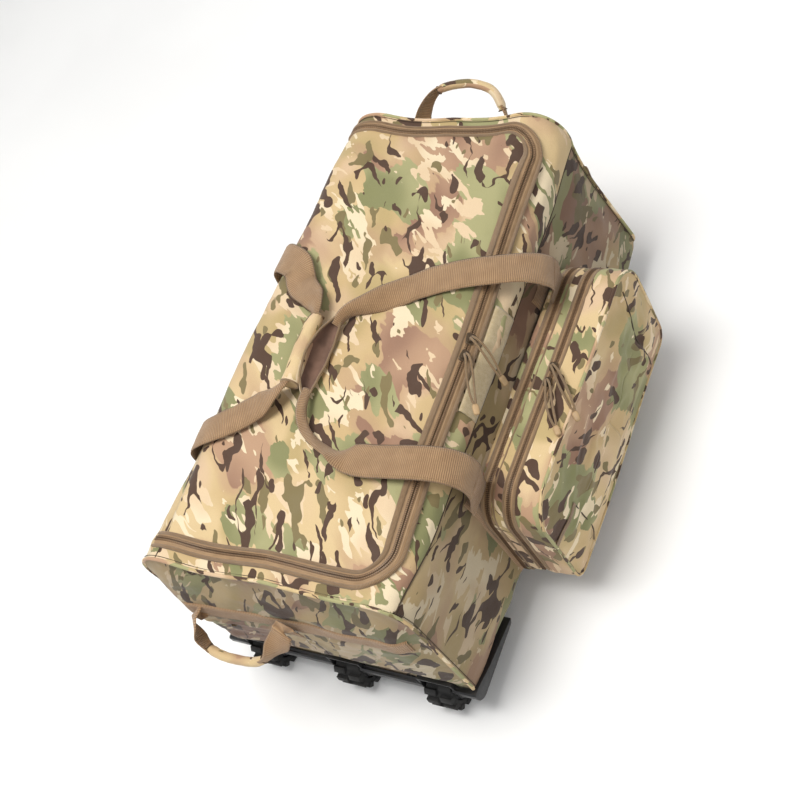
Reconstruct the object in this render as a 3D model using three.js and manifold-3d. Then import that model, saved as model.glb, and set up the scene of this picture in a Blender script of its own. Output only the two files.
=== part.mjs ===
// Rolling duffel bag, 30 inch class, lying on its base with the lid up.
// Frame: +Z up, +X from the wheel end to the pull-handle end, +Y towards the lid hinge side
// ("far"), -Y towards the side pocket ("near"). The origin is the middle of the base panel's
// underside. Heights in this file are counted from a level BASE_Z below that underside, and
// the finished group is lowered by BASE_Z at the end. The floor, under the wheels and skid
// feet, is at FLOOR_Z in these heights. Millimetres and radians.
import * as THREE from "three";
import { mergeVertices } from "three/addons/utils/BufferGeometryUtils.js";
import Module from "manifold-3d";

const wasm = await Module();
wasm.setup();

// ---------------------------------------------------------------- driving dimensions
const HALF_L = 380; // half body length
const BASE_Z = 34; // underside of the body
const TOP_Z_WHEEL = 318; // top of the body at the wheel end
const TOP_Z_HANDLE = 335; // top of the body at the handle end
const HALF_W = 208; // half body width at the base and at the wheel end
const HALF_W_HANDLE = 169; // half body width at the top of the handle end
const SHOULDER_R = 60; // rounding of the long top edges
const BASE_R = 22; // rounding of the long base edges
const END_R = 18; // rounding of the edges round each end
const WHEEL_END_BASE_R = 14; // rounding of the base edge at the wheel end
const WALL = 4; // fabric, foam and lining together
const GAP = 0.4; // clearance between neighbouring pieces
const SEAM_Z = 284; // seam between side panel and top border band
const END_SEAM_X = 375.5; // seam between the long panels and the end panels
const INNER_FLOOR_Z = BASE_Z + WALL + GAP; // lowest level of the pieces standing on the base
// Main zipper line, seen from above
const LID_X0 = -346; // across the wheel end
const LID_X1 = 354; // across the handle end
const LID_NEAR_Y0 = -171; // near side, where the wheel-end corner begins
const LID_NEAR_Y1 = -151; // near side, where the handle-end corner begins
const LID_CORNER_R = 46;
const HINGE_Y = 150;
const ZIP_SLIT = 0.3; // half the slit between the two halves of a zipper
// Webbing
const WEBBING_W = 50;
const WEBBING_T = 2.4;
// Carry strap centres, and how far each leg leans towards -X at its top
const CARRY_STRAPS = [
  { end: "handle_end", x: 145, lean: 8 },
  { end: "wheel_end", x: -182, lean: 0 },
];
const STRAP_PIVOT_Z = 232; // where the straps leave the side panels
const LEG_TOP_Z = 324;
const BAND_Z = 202; // centre height of the bands on the end panels
// Side pocket: x and z limits, outermost y, corner radius
const POCKET = { x0: -190, x1: 216, y: -297, z0: 38, z1: 226, r: 42 };
const POCKET_ZIP_Y = -251; // centre of the pocket's opening zipper
// Wheels
const WHEEL_R = 38;
const WHEEL_W = 42;
const AXLE = { x: -364, z: 24, r: 4, length: 368 };
const WHEELS = [
  { name: "near", y: -152 },
  { name: "middle", y: 0 },
  { name: "far", y: 152 },
];
const HOUSING = { x: -320, halfWidth: 28, top: 68 }; // inboard face and size round a wheel
const FLOOR_Z = AXLE.z - WHEEL_R;
// Telescopic handle
const TUBE_Y = 80;
const TUBE_Z = 53;
const CUP = { halfWidth: 118, top: 83.6 };

const SIDES = [
  { name: "near", sign: -1 },
  { name: "far", sign: 1 },
];

// ---------------------------------------------------------------- helpers: solids
const solid = (geometry) => {
  const bare = geometry.clone();
  for (const name of Object.keys(bare.attributes))
    if (name !== "position") bare.deleteAttribute(name);
  const merged = mergeVertices(bare, 1e-4);
  return new wasm.Manifold(
    new wasm.Mesh({
      numProp: 3,
      vertProperties: new Float32Array(merged.attributes.position.array),
      triVerts: new Uint32Array(merged.index.array),
    }),
  );
};
const geometryOf = (shape) => {
  const mesh = shape.getMesh();
  const geometry = new THREE.BufferGeometry();
  const position = new Float32Array(mesh.vertProperties);
  geometry.setAttribute("position", new THREE.BufferAttribute(position, 3));
  geometry.setIndex(new THREE.BufferAttribute(new Uint32Array(mesh.triVerts), 1));
  geometry.computeVertexNormals();
  return geometry;
};
const largest = (shape) =>
  shape.decompose().reduce((best, part) => (part.volume() > best.volume() ? part : best));
const union = (list) => list.reduce((sum, part) => sum.add(part));
const subtractAll = (shape, cutters) => cutters.reduce((rest, cut) => rest.subtract(cut), shape);

const box = (x0, x1, y0, y1, z0, z1) =>
  solid(
    new THREE.BoxGeometry(x1 - x0, y1 - y0, z1 - z0).translate(
      (x0 + x1) / 2,
      (y0 + y1) / 2,
      (z0 + z1) / 2,
    ),
  );
// A box that reaches past the bag in every direction that isn't given.
const OPEN = 500;
const region = ({ x = [-OPEN, OPEN], y = [-OPEN, OPEN], z = [-OPEN, OPEN] }) =>
  box(...x, ...y, ...z);
// The y range outside the given distance from the middle, on one side.
const outside = (sign, y) => (sign < 0 ? [-OPEN, -y] : [y, OPEN]);

const outline = (points, holes = []) => {
  const shape = new THREE.Shape(points.map((p) => new THREE.Vector2(...p)));
  for (const hole of holes)
    shape.holes.push(new THREE.Path(hole.map((p) => new THREE.Vector2(...p))));
  return shape;
};
const extrude = (points, depth, holes) =>
  new THREE.ExtrudeGeometry(outline(points, holes), { depth, bevelEnabled: false });
// Turns an outline in x, y extruded along z into one in y, z extruded along x from x0.
const alongX = (x0) => new THREE.Matrix4().set(0, 0, 1, x0, 1, 0, 0, 0, 0, 1, 0, 0, 0, 0, 0, 1);
// Prisms along an axis: outline in x, y along Z; in x, z along Y; in y, z along X.
const prismZ = (points, z0, z1) => solid(extrude(points, z1 - z0).translate(0, 0, z0));
const prismY = (points, y0, y1, holes) =>
  solid(
    extrude(points, y1 - y0, holes)
      .rotateX(Math.PI / 2)
      .translate(0, y1, 0),
  );
const prismX = (points, x0, x1, holes) =>
  solid(extrude(points, x1 - x0, holes).applyMatrix4(alongX(x0)));
const cylinderY = (x, z, r, y0, y1, segments) =>
  solid(new THREE.CylinderGeometry(r, r, y1 - y0, segments).translate(x, (y0 + y1) / 2, z));

const arc = (cx, cy, r, start, end, steps) =>
  Array.from({ length: steps + 1 }, (_, i) => {
    const angle = start + ((end - start) * i) / steps;
    return [cx + r * Math.cos(angle), cy + r * Math.sin(angle)];
  });
const circle = (r, segments) => arc(0, 0, r, 0, 2 * Math.PI, segments).slice(0, segments);
const roundedRect = (x0, x1, y0, y1, r, steps) => [
  ...arc(x1 - r, y0 + r, r, -Math.PI / 2, 0, steps),
  ...arc(x1 - r, y1 - r, r, 0, Math.PI / 2, steps),
  ...arc(x0 + r, y1 - r, r, Math.PI / 2, Math.PI, steps),
  ...arc(x0 + r, y0 + r, r, Math.PI, 1.5 * Math.PI, steps),
];

// A closed skin through rings of equal length, with a fan of triangles over each end.
const loft = (rings) => {
  const position = [];
  const triangle = (a, b, c) => position.push(...a, ...b, ...c);
  const count = rings[0].length;
  for (let i = 0; i + 1 < rings.length; i++)
    for (let k = 0; k < count; k++) {
      const next = (k + 1) % count;
      triangle(rings[i][k], rings[i][next], rings[i + 1][next]);
      triangle(rings[i][k], rings[i + 1][next], rings[i + 1][k]);
    }
  const first = rings[0];
  const last = rings[rings.length - 1];
  for (let k = 1; k + 1 < count; k++) {
    triangle(first[0], first[k + 1], first[k]);
    triangle(last[0], last[k], last[k + 1]);
  }
  const make = () => {
    const geometry = new THREE.BufferGeometry();
    geometry.setAttribute("position", new THREE.Float32BufferAttribute(position, 3));
    return solid(geometry);
  };
  const shape = make();
  if (shape.volume() > 0) return shape;
  // The rings ran the other way round: turn every triangle over.
  for (let i = 0; i < position.length; i += 9)
    for (let k = i + 3; k < i + 6; k++)
      [position[k], position[k + 3]] = [position[k + 3], position[k]];
  return make();
};

// ---------------------------------------------------------------- helpers: straps
const smooth = (points, divisions) =>
  new THREE.CatmullRomCurve3(
    points.map((p) => new THREE.Vector3(...p)),
    false,
    "centripetal",
  )
    .getPoints(divisions)
    .map((p) => p.toArray());
const tangentAt = (path, i) =>
  new THREE.Vector3(...path[Math.min(i + 1, path.length - 1)])
    .sub(new THREE.Vector3(...path[Math.max(i - 1, 0)]))
    .normalize();
// A flat strap along a path; sides gives the width direction at each point.
const strap = (path, sides, width, thickness) =>
  loft(
    path.map((point, i) => {
      const tangent = tangentAt(path, i);
      const side = new THREE.Vector3(...sides[i]);
      side.addScaledVector(tangent, -side.dot(tangent)).normalize();
      const normal = new THREE.Vector3().crossVectors(tangent, side);
      const w = width / 2;
      const t = thickness / 2;
      return [
        [-w, -t],
        [w, -t],
        [w, t],
        [-w, t],
      ].map(([across, up]) =>
        new THREE.Vector3(...point)
          .addScaledVector(side, across)
          .addScaledVector(normal, up)
          .toArray(),
      );
    }),
  );

// ---------------------------------------------------------------- materials
const material = ({ rgb, roughness, metalness = 0 }) =>
  new THREE.MeshStandardMaterial({ color: new THREE.Color(...rgb), roughness, metalness });
const camo = material({ rgb: [0.55, 0.47, 0.3], roughness: 0.85 });
const camoDark = material({ rgb: [0.42, 0.34, 0.22], roughness: 0.85 });
const lining = material({ rgb: [0.33, 0.27, 0.19], roughness: 0.8 });
const webbing = material({ rgb: [0.45, 0.33, 0.22], roughness: 0.8 });
const zipTape = material({ rgb: [0.37, 0.28, 0.19], roughness: 0.7 });
const zipMetal = material({ rgb: [0.3, 0.24, 0.17], roughness: 0.5, metalness: 0.4 });
const cordTan = material({ rgb: [0.5, 0.4, 0.28], roughness: 0.8 });
const black = material({ rgb: [0.02, 0.02, 0.022], roughness: 0.45 });
const rubber = material({ rgb: [0.018, 0.018, 0.018], roughness: 0.7 });
const steel = material({ rgb: [0.6, 0.6, 0.62], roughness: 0.3, metalness: 1 });
const aluminium = material({ rgb: [0.7, 0.71, 0.73], roughness: 0.35, metalness: 1 });
const loopPile = material({ rgb: [0.5, 0.43, 0.29], roughness: 0.95 });
const board = material({ rgb: [0.12, 0.12, 0.12], roughness: 0.7 });

const bag = new THREE.Group();
const add = (name, shape, surface, parent = bag) => {
  const geometry = shape instanceof THREE.BufferGeometry ? shape : geometryOf(shape);
  const mesh = new THREE.Mesh(geometry, surface);
  mesh.name = name;
  parent.add(mesh);
};
const addGroup = (parent = bag) => {
  const group = new THREE.Group();
  parent.add(group);
  return group;
};

// ---------------------------------------------------------------- body surface
// x of the cross-sections, closest together where the ends are rounded
const BODY_STATIONS = [-380, -378, -373, -363, -350, -336, -120, 120, 355, 367, 375, 379, 380];
const alongBody = (atWheelEnd, atHandleEnd, x) =>
  atWheelEnd + ((atHandleEnd - atWheelEnd) * (x + HALF_L)) / (2 * HALF_L);
// How far an edge rounded by r steps in, at a distance from the end.
const roundingInset = (fromEnd, r) =>
  fromEnd < r ? r - Math.sqrt(r * r - (r - fromEnd) ** 2) : 0;
// The body as one form, grown by grow.
const bodyForm = (grow) =>
  loft(
    BODY_STATIONS.map((station) => {
      const fromEnd = HALF_L - Math.abs(station);
      const inset = roundingInset(fromEnd, END_R);
      const lift = station < 0 ? roundingInset(fromEnd, WHEEL_END_BASE_R) : inset;
      const low = BASE_Z - grow + lift;
      const high = alongBody(TOP_Z_WHEEL, TOP_Z_HANDLE, station) + grow - inset * 0.7;
      const baseHalf = HALF_W + grow - inset;
      const topHalf = alongBody(HALF_W, HALF_W_HANDLE, station) + grow - inset;
      const x = station + (grow * station) / HALF_L;
      const shoulderR = SHOULDER_R + grow;
      const baseR = BASE_R + grow;
      const half = [
        ...arc(baseHalf - baseR, low + baseR, baseR, -Math.PI / 2, 0, 4),
        ...arc(topHalf - shoulderR, high - shoulderR, shoulderR, 0, Math.PI / 2, 8),
      ];
      return [
        ...half.map(([y, z]) => [x, y, z]),
        ...[...half].reverse().map(([y, z]) => [x, -y, z]),
      ];
    }),
  );
const skin = (from, to) => bodyForm(to).subtract(bodyForm(from));
const shell = skin(-WALL, 0);

// Everything within the main zipper line grown outwards by grow, above fromZ. On the hinge
// side it ends at HINGE_Y + pastHinge.
const withinZip = (grow, pastHinge, fromZ = 200) => {
  const r = LID_CORNER_R + grow;
  const x0 = LID_X0 - grow;
  const x1 = LID_X1 + grow;
  const line = [
    [x0, HINGE_Y + pastHinge],
    ...arc(x0 + r, LID_NEAR_Y0 - grow + r, r, Math.PI, 1.5 * Math.PI, 7),
    ...arc(x1 - r, LID_NEAR_Y1 - grow + r, r, -Math.PI / 2, 0, 7),
    [x1, HINGE_Y + pastHinge],
  ];
  return prismZ(line, fromZ, 430);
};
const LID_LOW_Z = 270; // the lid and its zipper lie above this

// The space of the three wheel housings, with clearance on the sides and above.
const housingSpace = (side, above) =>
  union(
    WHEELS.map(({ y }) => {
      const halfWidth = HOUSING.halfWidth + side;
      return box(-400, HOUSING.x + side, y - halfWidth, y + halfWidth, -20, HOUSING.top + above);
    }),
  );
const wells = housingSpace(0.3, 0.3);
const cupHalfSpace = CUP.halfWidth + GAP;
const cupSpace = box(334.4, 400, -cupHalfSpace, cupHalfSpace, 36, CUP.top + GAP);

// ---------------------------------------------------------------- fabric body
const betweenEnds = [-END_SEAM_X, END_SEAM_X];
const endPanelX = END_SEAM_X + 2 * GAP;

add(
  "base_panel",
  shell.intersect(region({ x: betweenEnds, z: [0, BASE_Z + WALL - 0.1] })).subtract(wells),
  camoDark,
);
const BOARD_T = 3.6;
add("base_board", box(-318, 330, -180, 180, INNER_FLOOR_Z, INNER_FLOOR_Z + BOARD_T), board);
add(
  "wheel_end_panel",
  largest(shell.intersect(region({ x: [-OPEN, -endPanelX] })).subtract(wells)),
  camo,
);
// The second region adds the rounded lower edge between the side panels.
add(
  "handle_end_panel",
  largest(
    shell
      .intersect(
        region({ x: [endPanelX, OPEN], z: [INNER_FLOOR_Z, OPEN] }).add(
          region({ x: [340, OPEN], y: [-179.7, 179.7], z: [INNER_FLOOR_Z, 60] }),
        ),
      )
      .subtract(cupSpace),
  ),
  camo,
);
for (const { name, sign } of SIDES)
  add(
    name + "_side_panel",
    largest(
      shell
        .intersect(region({ x: betweenEnds, z: [INNER_FLOOR_Z, SEAM_Z - GAP] }))
        .intersect(
          region({ y: outside(sign, 180), z: [0, 90] }).add(
            region({ y: outside(sign, 140), z: [89, OPEN] }),
          ),
        )
        .subtract(box(-400, -319.7, -190, 190, 0, 69)),
    ),
    camo,
  );
add(
  "top_border_band",
  shell
    .intersect(region({ x: betweenEnds, z: [SEAM_Z, OPEN] }))
    .subtract(withinZip(ZIP_SLIT, 0.8)),
  camo,
);
const mainTape = skin(0.35, 2.6);
add(
  "main_zipper_border_half",
  largest(mainTape.intersect(withinZip(17, -2, LID_LOW_Z)).subtract(withinZip(ZIP_SLIT, 50))),
  zipTape,
);

// ---------------------------------------------------------------- lid
const lid = addGroup();
add("lid_panel", largest(shell.intersect(withinZip(-ZIP_SLIT, -0.8, LID_LOW_Z))), camo, lid);
add(
  "main_zipper_lid_half",
  largest(mainTape.intersect(withinZip(-ZIP_SLIT, -4, LID_LOW_Z)).subtract(withinZip(-21, 50))),
  zipTape,
  lid,
);

// ---------------------------------------------------------------- webbing sewn on the body
const sewn = skin(GAP, GAP + WEBBING_T);
for (const { end, x } of CARRY_STRAPS)
  add(
    "body_webbing_" + end,
    sewn.intersect(
      region({ x: [x - WEBBING_W / 2, x + WEBBING_W / 2], z: [0, STRAP_PIVOT_Z - 4] }),
    ),
    webbing,
  );
add(
  "loop_patch",
  skin(GAP, 2.2).intersect(box(-85, 70, -300, -100, 287, 322)).subtract(withinZip(18, 10)),
  loopPile,
);
// The bands on the end panels, behind the end handles.
const addEndBand = (name, x0, x1) => {
  const z = [BAND_Z - WEBBING_W / 2, BAND_Z + WEBBING_W / 2];
  add(name, largest(sewn.intersect(region({ x: [x0, x1], y: [-190, 190], z }))), webbing);
};
addEndBand("wheel_end_band", -420, -379.5);
addEndBand("handle_end_band", 379.5, 420);

// ---------------------------------------------------------------- side pocket
// Rounded edge of the pocket's outer face: [inset from the outline, distance back in +y];
// the last ring lies inside the body.
const POCKET_EDGE = [
  [14, 0],
  [5.5, 2.6],
  [1.9, 7],
  [0, 14],
  [0, 200],
];
const pocketForm = (grow) =>
  loft(
    POCKET_EDGE.map(([inset, back]) => {
      const out = grow - inset;
      return roundedRect(
        POCKET.x0 - out,
        POCKET.x1 + out,
        POCKET.z0 - out,
        POCKET.z1 + out,
        POCKET.r + out,
        6,
      ).map(([x, z]) => [x, POCKET.y - grow + back, z]);
    }),
  );
const bodyClear = bodyForm(GAP + WEBBING_T + GAP);
const pocketShell = pocketForm(0).subtract(pocketForm(-3)).subtract(bodyClear);
const pocketSkin = pocketForm(2.4).subtract(pocketForm(0.4));
const pocketZip = {
  bagEdge: POCKET_ZIP_Y + ZIP_SLIT,
  coverEdge: POCKET_ZIP_Y - ZIP_SLIT,
  tape: 9, // from the zipper's centre to the edge of the tape
  z: [POCKET.z0 + 24, OPEN], // the zipper stops short of the pocket's bottom
};
add(
  "pocket_gusset",
  largest(pocketShell.intersect(region({ y: [pocketZip.bagEdge, 0] }))),
  camo,
);
add(
  "pocket_base_zipper",
  largest(pocketSkin.subtract(bodyClear).intersect(region({ y: [-225, -200] }))),
  zipTape,
);
const zipBagY = [pocketZip.bagEdge, POCKET_ZIP_Y + pocketZip.tape];
add(
  "pocket_zipper_bag_half",
  largest(pocketSkin.intersect(region({ y: zipBagY, z: pocketZip.z }))),
  zipTape,
);
const pocketCover = addGroup();
add(
  "pocket_cover",
  largest(
    pocketShell.intersect(region({ y: [-OPEN, pocketZip.coverEdge], z: [POCKET.z0 - 2, OPEN] })),
  ),
  camo,
  pocketCover,
);
const zipCoverY = [POCKET_ZIP_Y - pocketZip.tape, pocketZip.coverEdge];
add(
  "pocket_zipper_cover_half",
  largest(pocketSkin.intersect(region({ y: zipCoverY, z: pocketZip.z }))),
  zipTape,
  pocketCover,
);

// ---------------------------------------------------------------- wheel frame and axle
// A plate under the wheel end of the bag, turned up into a lip round it, with a housing over
// each wheel.
const PLATE = { x0: -388, z0: 27.7, r: 18, halfWidth: 213 };
// [x, z]
const PLATE_OUTLINE = [
  [-262, BASE_Z + 0.6],
  [-266, PLATE.z0 + 1.2],
  [-272, PLATE.z0],
  ...arc(PLATE.x0 + PLATE.r, PLATE.z0 + PLATE.r, PLATE.r, -Math.PI / 2, -Math.PI, 7),
  [PLATE.x0, 53],
  [PLATE.x0 + 2, 55],
  [PLATE.x0 + 14, 55],
  [-340, 46],
];
// [x, z]
const HOUSING_OUTLINE = [
  [HOUSING.x, HOUSING.top],
  [HOUSING.x, BASE_Z - 2],
  [-346, 15],
  [-352, 13],
  [-374, 13],
  [-380, 15],
  [-386, 27],
  [-386, HOUSING.top],
];
const HOUSING_WALL = 3; // inboard wall and roof
const SLOT_HALF_W = 24.6; // half the space for a wheel
const wheelFrame = () => {
  const frame = union([
    prismY(PLATE_OUTLINE, -PLATE.halfWidth, PLATE.halfWidth),
    ...WHEELS.map(({ y }) =>
      prismY(HOUSING_OUTLINE, y - HOUSING.halfWidth, y + HOUSING.halfWidth),
    ),
  ]);
  const slots = WHEELS.map(({ y }) =>
    box(
      -420,
      HOUSING.x - HOUSING_WALL,
      y - SLOT_HALF_W,
      y + SLOT_HALF_W,
      -20,
      HOUSING.top - HOUSING_WALL,
    ),
  );
  return largest(
    subtractAll(frame, slots)
      .subtract(bodyForm(0.5).subtract(housingSpace(0.1, 0.2)))
      .subtract(cylinderY(AXLE.x, AXLE.z, AXLE.r + 0.1, -300, 300, 32)),
  );
};
add("wheel_frame", wheelFrame(), black);
add(
  "wheel_axle",
  new THREE.CylinderGeometry(AXLE.r, AXLE.r, AXLE.length, 32).translate(AXLE.x, 0, AXLE.z),
  steel,
);

// ---------------------------------------------------------------- wheels
// A ring with two staggered rows of lugs.
const LUGS = 12; // in each row
const LUG_ROOT_R = 30.5;
const LUG_HALF_ANGLE = 0.148;
const LUG_TIP_ANGLE = LUG_HALF_ANGLE * 0.86;
const RING_R = 33;
const RING_HOLE_R = 24;
const lug = (angle, y0, y1) =>
  prismY(
    [
      [LUG_ROOT_R, -LUG_HALF_ANGLE],
      [WHEEL_R, -LUG_TIP_ANGLE],
      [WHEEL_R, 0],
      [WHEEL_R, LUG_TIP_ANGLE],
      [LUG_ROOT_R, LUG_HALF_ANGLE],
    ].map(([r, turn]) => [r * Math.cos(angle + turn), r * Math.sin(angle + turn)]),
    y0,
    y1,
  );
// phase shifts a row by a fraction of the lug pitch.
const lugRow = (phase, y0, y1) =>
  Array.from({ length: LUGS }, (_, i) => lug(((i + phase) * 2 * Math.PI) / LUGS, y0, y1));
const tyre = union([
  prismY(circle(RING_R, 36), -WHEEL_W / 2 + 1, WHEEL_W / 2 - 1, [circle(RING_HOLE_R, 28)]),
  ...lugRow(0.25, -WHEEL_W / 2, -2.5),
  ...lugRow(0.75, 2.5, WHEEL_W / 2),
]);

// Closed profile of the hub: [radius, y]
const HUB_PROFILE = [
  [4.35, -20.5], [9, -20.5], [9, -8], [19.4, -8],
  [19.4, -16.5], [23.6, -16.5], [23.6, 16.5], [19.4, 16.5],
  [19.4, 8], [9, 8], [9, 20.5], [4.35, 20.5],
  [4.35, -20.5],
];
const HUB_HOLES = { count: 5, r: 3.4, circleR: 14.2 };
const hub = subtractAll(
  solid(
    new THREE.LatheGeometry(
      HUB_PROFILE.map((p) => new THREE.Vector2(...p)),
      28,
    ),
  ),
  Array.from({ length: HUB_HOLES.count }, (_, i) => {
    const angle = (i * 2 * Math.PI) / HUB_HOLES.count;
    const x = HUB_HOLES.circleR * Math.cos(angle);
    const z = HUB_HOLES.circleR * Math.sin(angle);
    return cylinderY(x, z, HUB_HOLES.r, -12, 12, 14);
  }),
);
for (const { name, y } of WHEELS) {
  const wheel = addGroup();
  wheel.position.set(AXLE.x, y, AXLE.z);
  add("tyre_" + name, tyre, rubber, wheel);
  add("wheel_hub_" + name, hub, black, wheel);
}

// ---------------------------------------------------------------- skid rails
// A tapered rail along the base, with a foot down to the floor at the handle end.
const SKID_Y = 118;
const SKID_TOP_Z = BASE_Z - 3.3;
const RAIL_LOW_Z = BASE_Z - 13;
for (const { name, sign } of SIDES) {
  const y = sign * SKID_Y;
  const rail = [
    [y - 9, SKID_TOP_Z],
    [y + 9, SKID_TOP_Z],
    [y + 6, RAIL_LOW_Z],
    [y - 6, RAIL_LOW_Z],
  ];
  const foot = [
    [306, SKID_TOP_Z],
    [356, SKID_TOP_Z],
    [350, FLOOR_Z],
    [320, FLOOR_Z],
  ];
  add(
    "skid_rail_" + name,
    union([prismX(rail, -257, 330), prismY(foot, y - 15, y + 15)]),
    black,
  );
}

// ---------------------------------------------------------------- telescopic pull handle
// Nested tube sections: x range, outside width (y) and height (z), wall
const OUTER_TUBE = { x0: -300, x1: 334.5, width: 24, height: 19, wall: 1.5 };
const MID_TUBE = { x0: -296, x1: 342, width: 20.2, height: 15.2, wall: 1.2 };
const INNER_TUBE = { x0: -292, x1: 346, width: 17, height: 12, wall: 1.4 };
const tubeRect = (y, width, height) => [
  [y - width / 2, TUBE_Z - height / 2],
  [y + width / 2, TUBE_Z - height / 2],
  [y + width / 2, TUBE_Z + height / 2],
  [y - width / 2, TUBE_Z + height / 2],
];
const tube = (y, { x0, x1, width, height, wall }) =>
  prismX(tubeRect(y, width, height), x0, x1, [
    tubeRect(y, width - 2 * wall, height - 2 * wall),
  ]);
// One box round each tube line.
const atTubes = (x0, x1, halfWidth, z0, z1) =>
  [-TUBE_Y, TUBE_Y].map((y) => box(x0, x1, y - halfWidth, y + halfWidth, z0, z1));

for (const { name, sign } of SIDES)
  add("outer_tube_" + name, tube(sign * TUBE_Y, OUTER_TUBE), aluminium);

// An open box let into the handle end, with a flange round its mouth and two tube holes.
add(
  "handle_cup",
  subtractAll(
    box(335, 384.6, -CUP.halfWidth, CUP.halfWidth, 38.6, CUP.top).add(
      box(380.6, 384.6, -124, 124, 34, 90),
    ),
    [
      box(338, 400, -114, 114, 42, 79),
      ...atTubes(330, 340, 10.6, TUBE_Z - 8.1, TUBE_Z + 8.1),
    ],
  ),
  black,
);
// A shallow channel over the tubes: [y, z]
const COVER_OUTLINE = [
  [-115, 42.9], [-115, 64.6], [-109, 67], [109, 67],
  [115, 64.6], [115, 42.9], [118, 42.9], [118, 66],
  [110, 70], [-110, 70], [-118, 66], [-118, 42.9],
];
add("trolley_cover", prismX(COVER_OUTLINE, -312, 334), lining);

const stageMid = addGroup();
const stageGrip = addGroup(stageMid);
for (const { name, sign } of SIDES) {
  add("mid_tube_" + name, tube(sign * TUBE_Y, MID_TUBE), aluminium, stageMid);
  add("inner_tube_" + name, tube(sign * TUBE_Y, INNER_TUBE), aluminium, stageGrip);
}
add(
  "pull_grip",
  subtractAll(
    union([box(358, 380, -108, 108, 45, 73), ...atTubes(346.4, 360, 14, 45, 61)]),
    [
      box(366, 374, -88, 88, 49.5, 62), // space for the release bar
      ...atTubes(340, 370, 4.6, TUBE_Z - 3, TUBE_Z + 3), // holes for the release rods
      box(370, 384, -17.5, 17.5, 53.5, 64.5), // window for the button
    ],
  ),
  black,
  stageGrip,
);
const release = addGroup(stageGrip);
add(
  "release_button",
  union([
    // the button, lower where it lies inside the grip
    box(370.6, 382.5, -16.5, 16.5, 54.5, 61.4),
    box(374.5, 382.5, -16.5, 16.5, 54.5, 63.5),
    // the bar across the grip
    box(370.4, 373.4, -84, 84, 54.5, 59),
    // the rods in the tubes, and their joints to the bar
    ...atTubes(100, 373.4, 2.5, TUBE_Z - 2, TUBE_Z + 2),
    ...atTubes(370.4, 373.4, 4, 51.5, 59),
  ]),
  black,
  release,
);

// ---------------------------------------------------------------- carry handles
// Each side has two short legs up to the shoulder and a loop with a padded grip that lies
// over the lid.
const addLegs = ({ name, sign }) => {
  const y0 = sign * (HALF_W + 6.5);
  const y1 = sign * (HALF_W + 7);
  const bulge = sign * 3;
  for (const { end, x, lean } of CARRY_STRAPS) {
    const path = [
      [x, y0, STRAP_PIVOT_Z - 2],
      [x, y0 + bulge, STRAP_PIVOT_Z + 30],
      [x - lean / 2, y1 + bulge, STRAP_PIVOT_Z + 62],
      [x - lean, y1, LEG_TOP_Z],
    ];
    const sides = path.map(() => [1, 0, 0]);
    add(`${name}_leg_${end}`, strap(path, sides, WEBBING_W, WEBBING_T), webbing);
  }
};
SIDES.forEach(addLegs);

// Width directions that start along +X, carry on from ring to ring and are drawn towards
// the level.
const levelSides = (path) => {
  let last = new THREE.Vector3(1, 0, 0);
  return path.map((_, i) => {
    const tangent = tangentAt(path, i);
    const side = last.clone().addScaledVector(tangent, -last.dot(tangent)).normalize();
    const level = new THREE.Vector3(0, 0, 1).cross(tangent);
    if (level.length() > 0.3) {
      level.normalize();
      if (level.dot(side) < 0) level.negate();
      side.lerp(level, 0.6).normalize();
    }
    last = side;
    return side.toArray();
  });
};
const GRIP = { width: 55, height: 16, cornerR: 16 * 0.42 };
// A level padded grip between two [x, y] points.
const gripBody = ([x0, y0], [x1, y1], z) => {
  const length = Math.hypot(x1 - x0, y1 - y0);
  const w = GRIP.width / 2;
  const h = GRIP.height / 2;
  return solid(
    extrude(roundedRect(-w, w, -h, h, GRIP.cornerR, 4), length)
      .translate(0, 0, -length / 2)
      .applyMatrix4(alongX(0))
      .rotateZ(Math.atan2(y1 - y0, x1 - x0))
      .translate((x0 + x1) / 2, (y0 + y1) / 2, z),
  );
};
// Loop paths from the handle-end arm over the grip to the wheel-end arm: [x, y, z]
const NEAR_LOOP = [
  [135, -214, 327], [131, -205, 342], [120, -178, 346],
  [100, -128, 343], [72, -60, 341], [46, -4, 345],
  [26, 28, 351], [10, 39, 353], [-40, 43, 353],
  [-92, 50, 351], [-122, 43, 346], [-150, 20, 341],
  [-172, -20, 338], [-181, -66, 336], [-183, -120, 336],
  [-182, -178, 341], [-182, -205, 338], [-182, -214, 327],
];
const FAR_LOOP = [
  [136, 214, 327], [130, 205, 342], [116, 180, 348],
  [88, 140, 344], [60, 114, 345], [40, 101, 349],
  [14, 98, 351], [-36, 103, 351], [-84, 107, 349],
  [-110, 114, 345], [-142, 138, 341], [-172, 178, 345],
  [-181, 205, 338], [-182, 214, 327],
];
const addCarryLoop = (name, points, divisions, grip) => {
  const path = smooth(points, divisions);
  const sides = levelSides(path);
  add(name + "_handle_webbing", strap(path, sides, 46, WEBBING_T), webbing);
  add(name + "_handle_grip", grip.subtract(strap(path, sides, 47, 3.4)), camo);
};
addCarryLoop("near", NEAR_LOOP, 54, gripBody([14, 40], [-94, 50], 352.6));
addCarryLoop("far", FAR_LOOP, 46, gripBody([20, 101], [-88, 110], 350.6));

// ---------------------------------------------------------------- end handles
const END_STRAP_W = 30;
const SLEEVE = { width: 37.5, thickness: 9, slotWidth: 30.5, slotThickness: 3.6 };
const TURN_LENGTH = 45; // distance from a seam over which the strap turns
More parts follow.
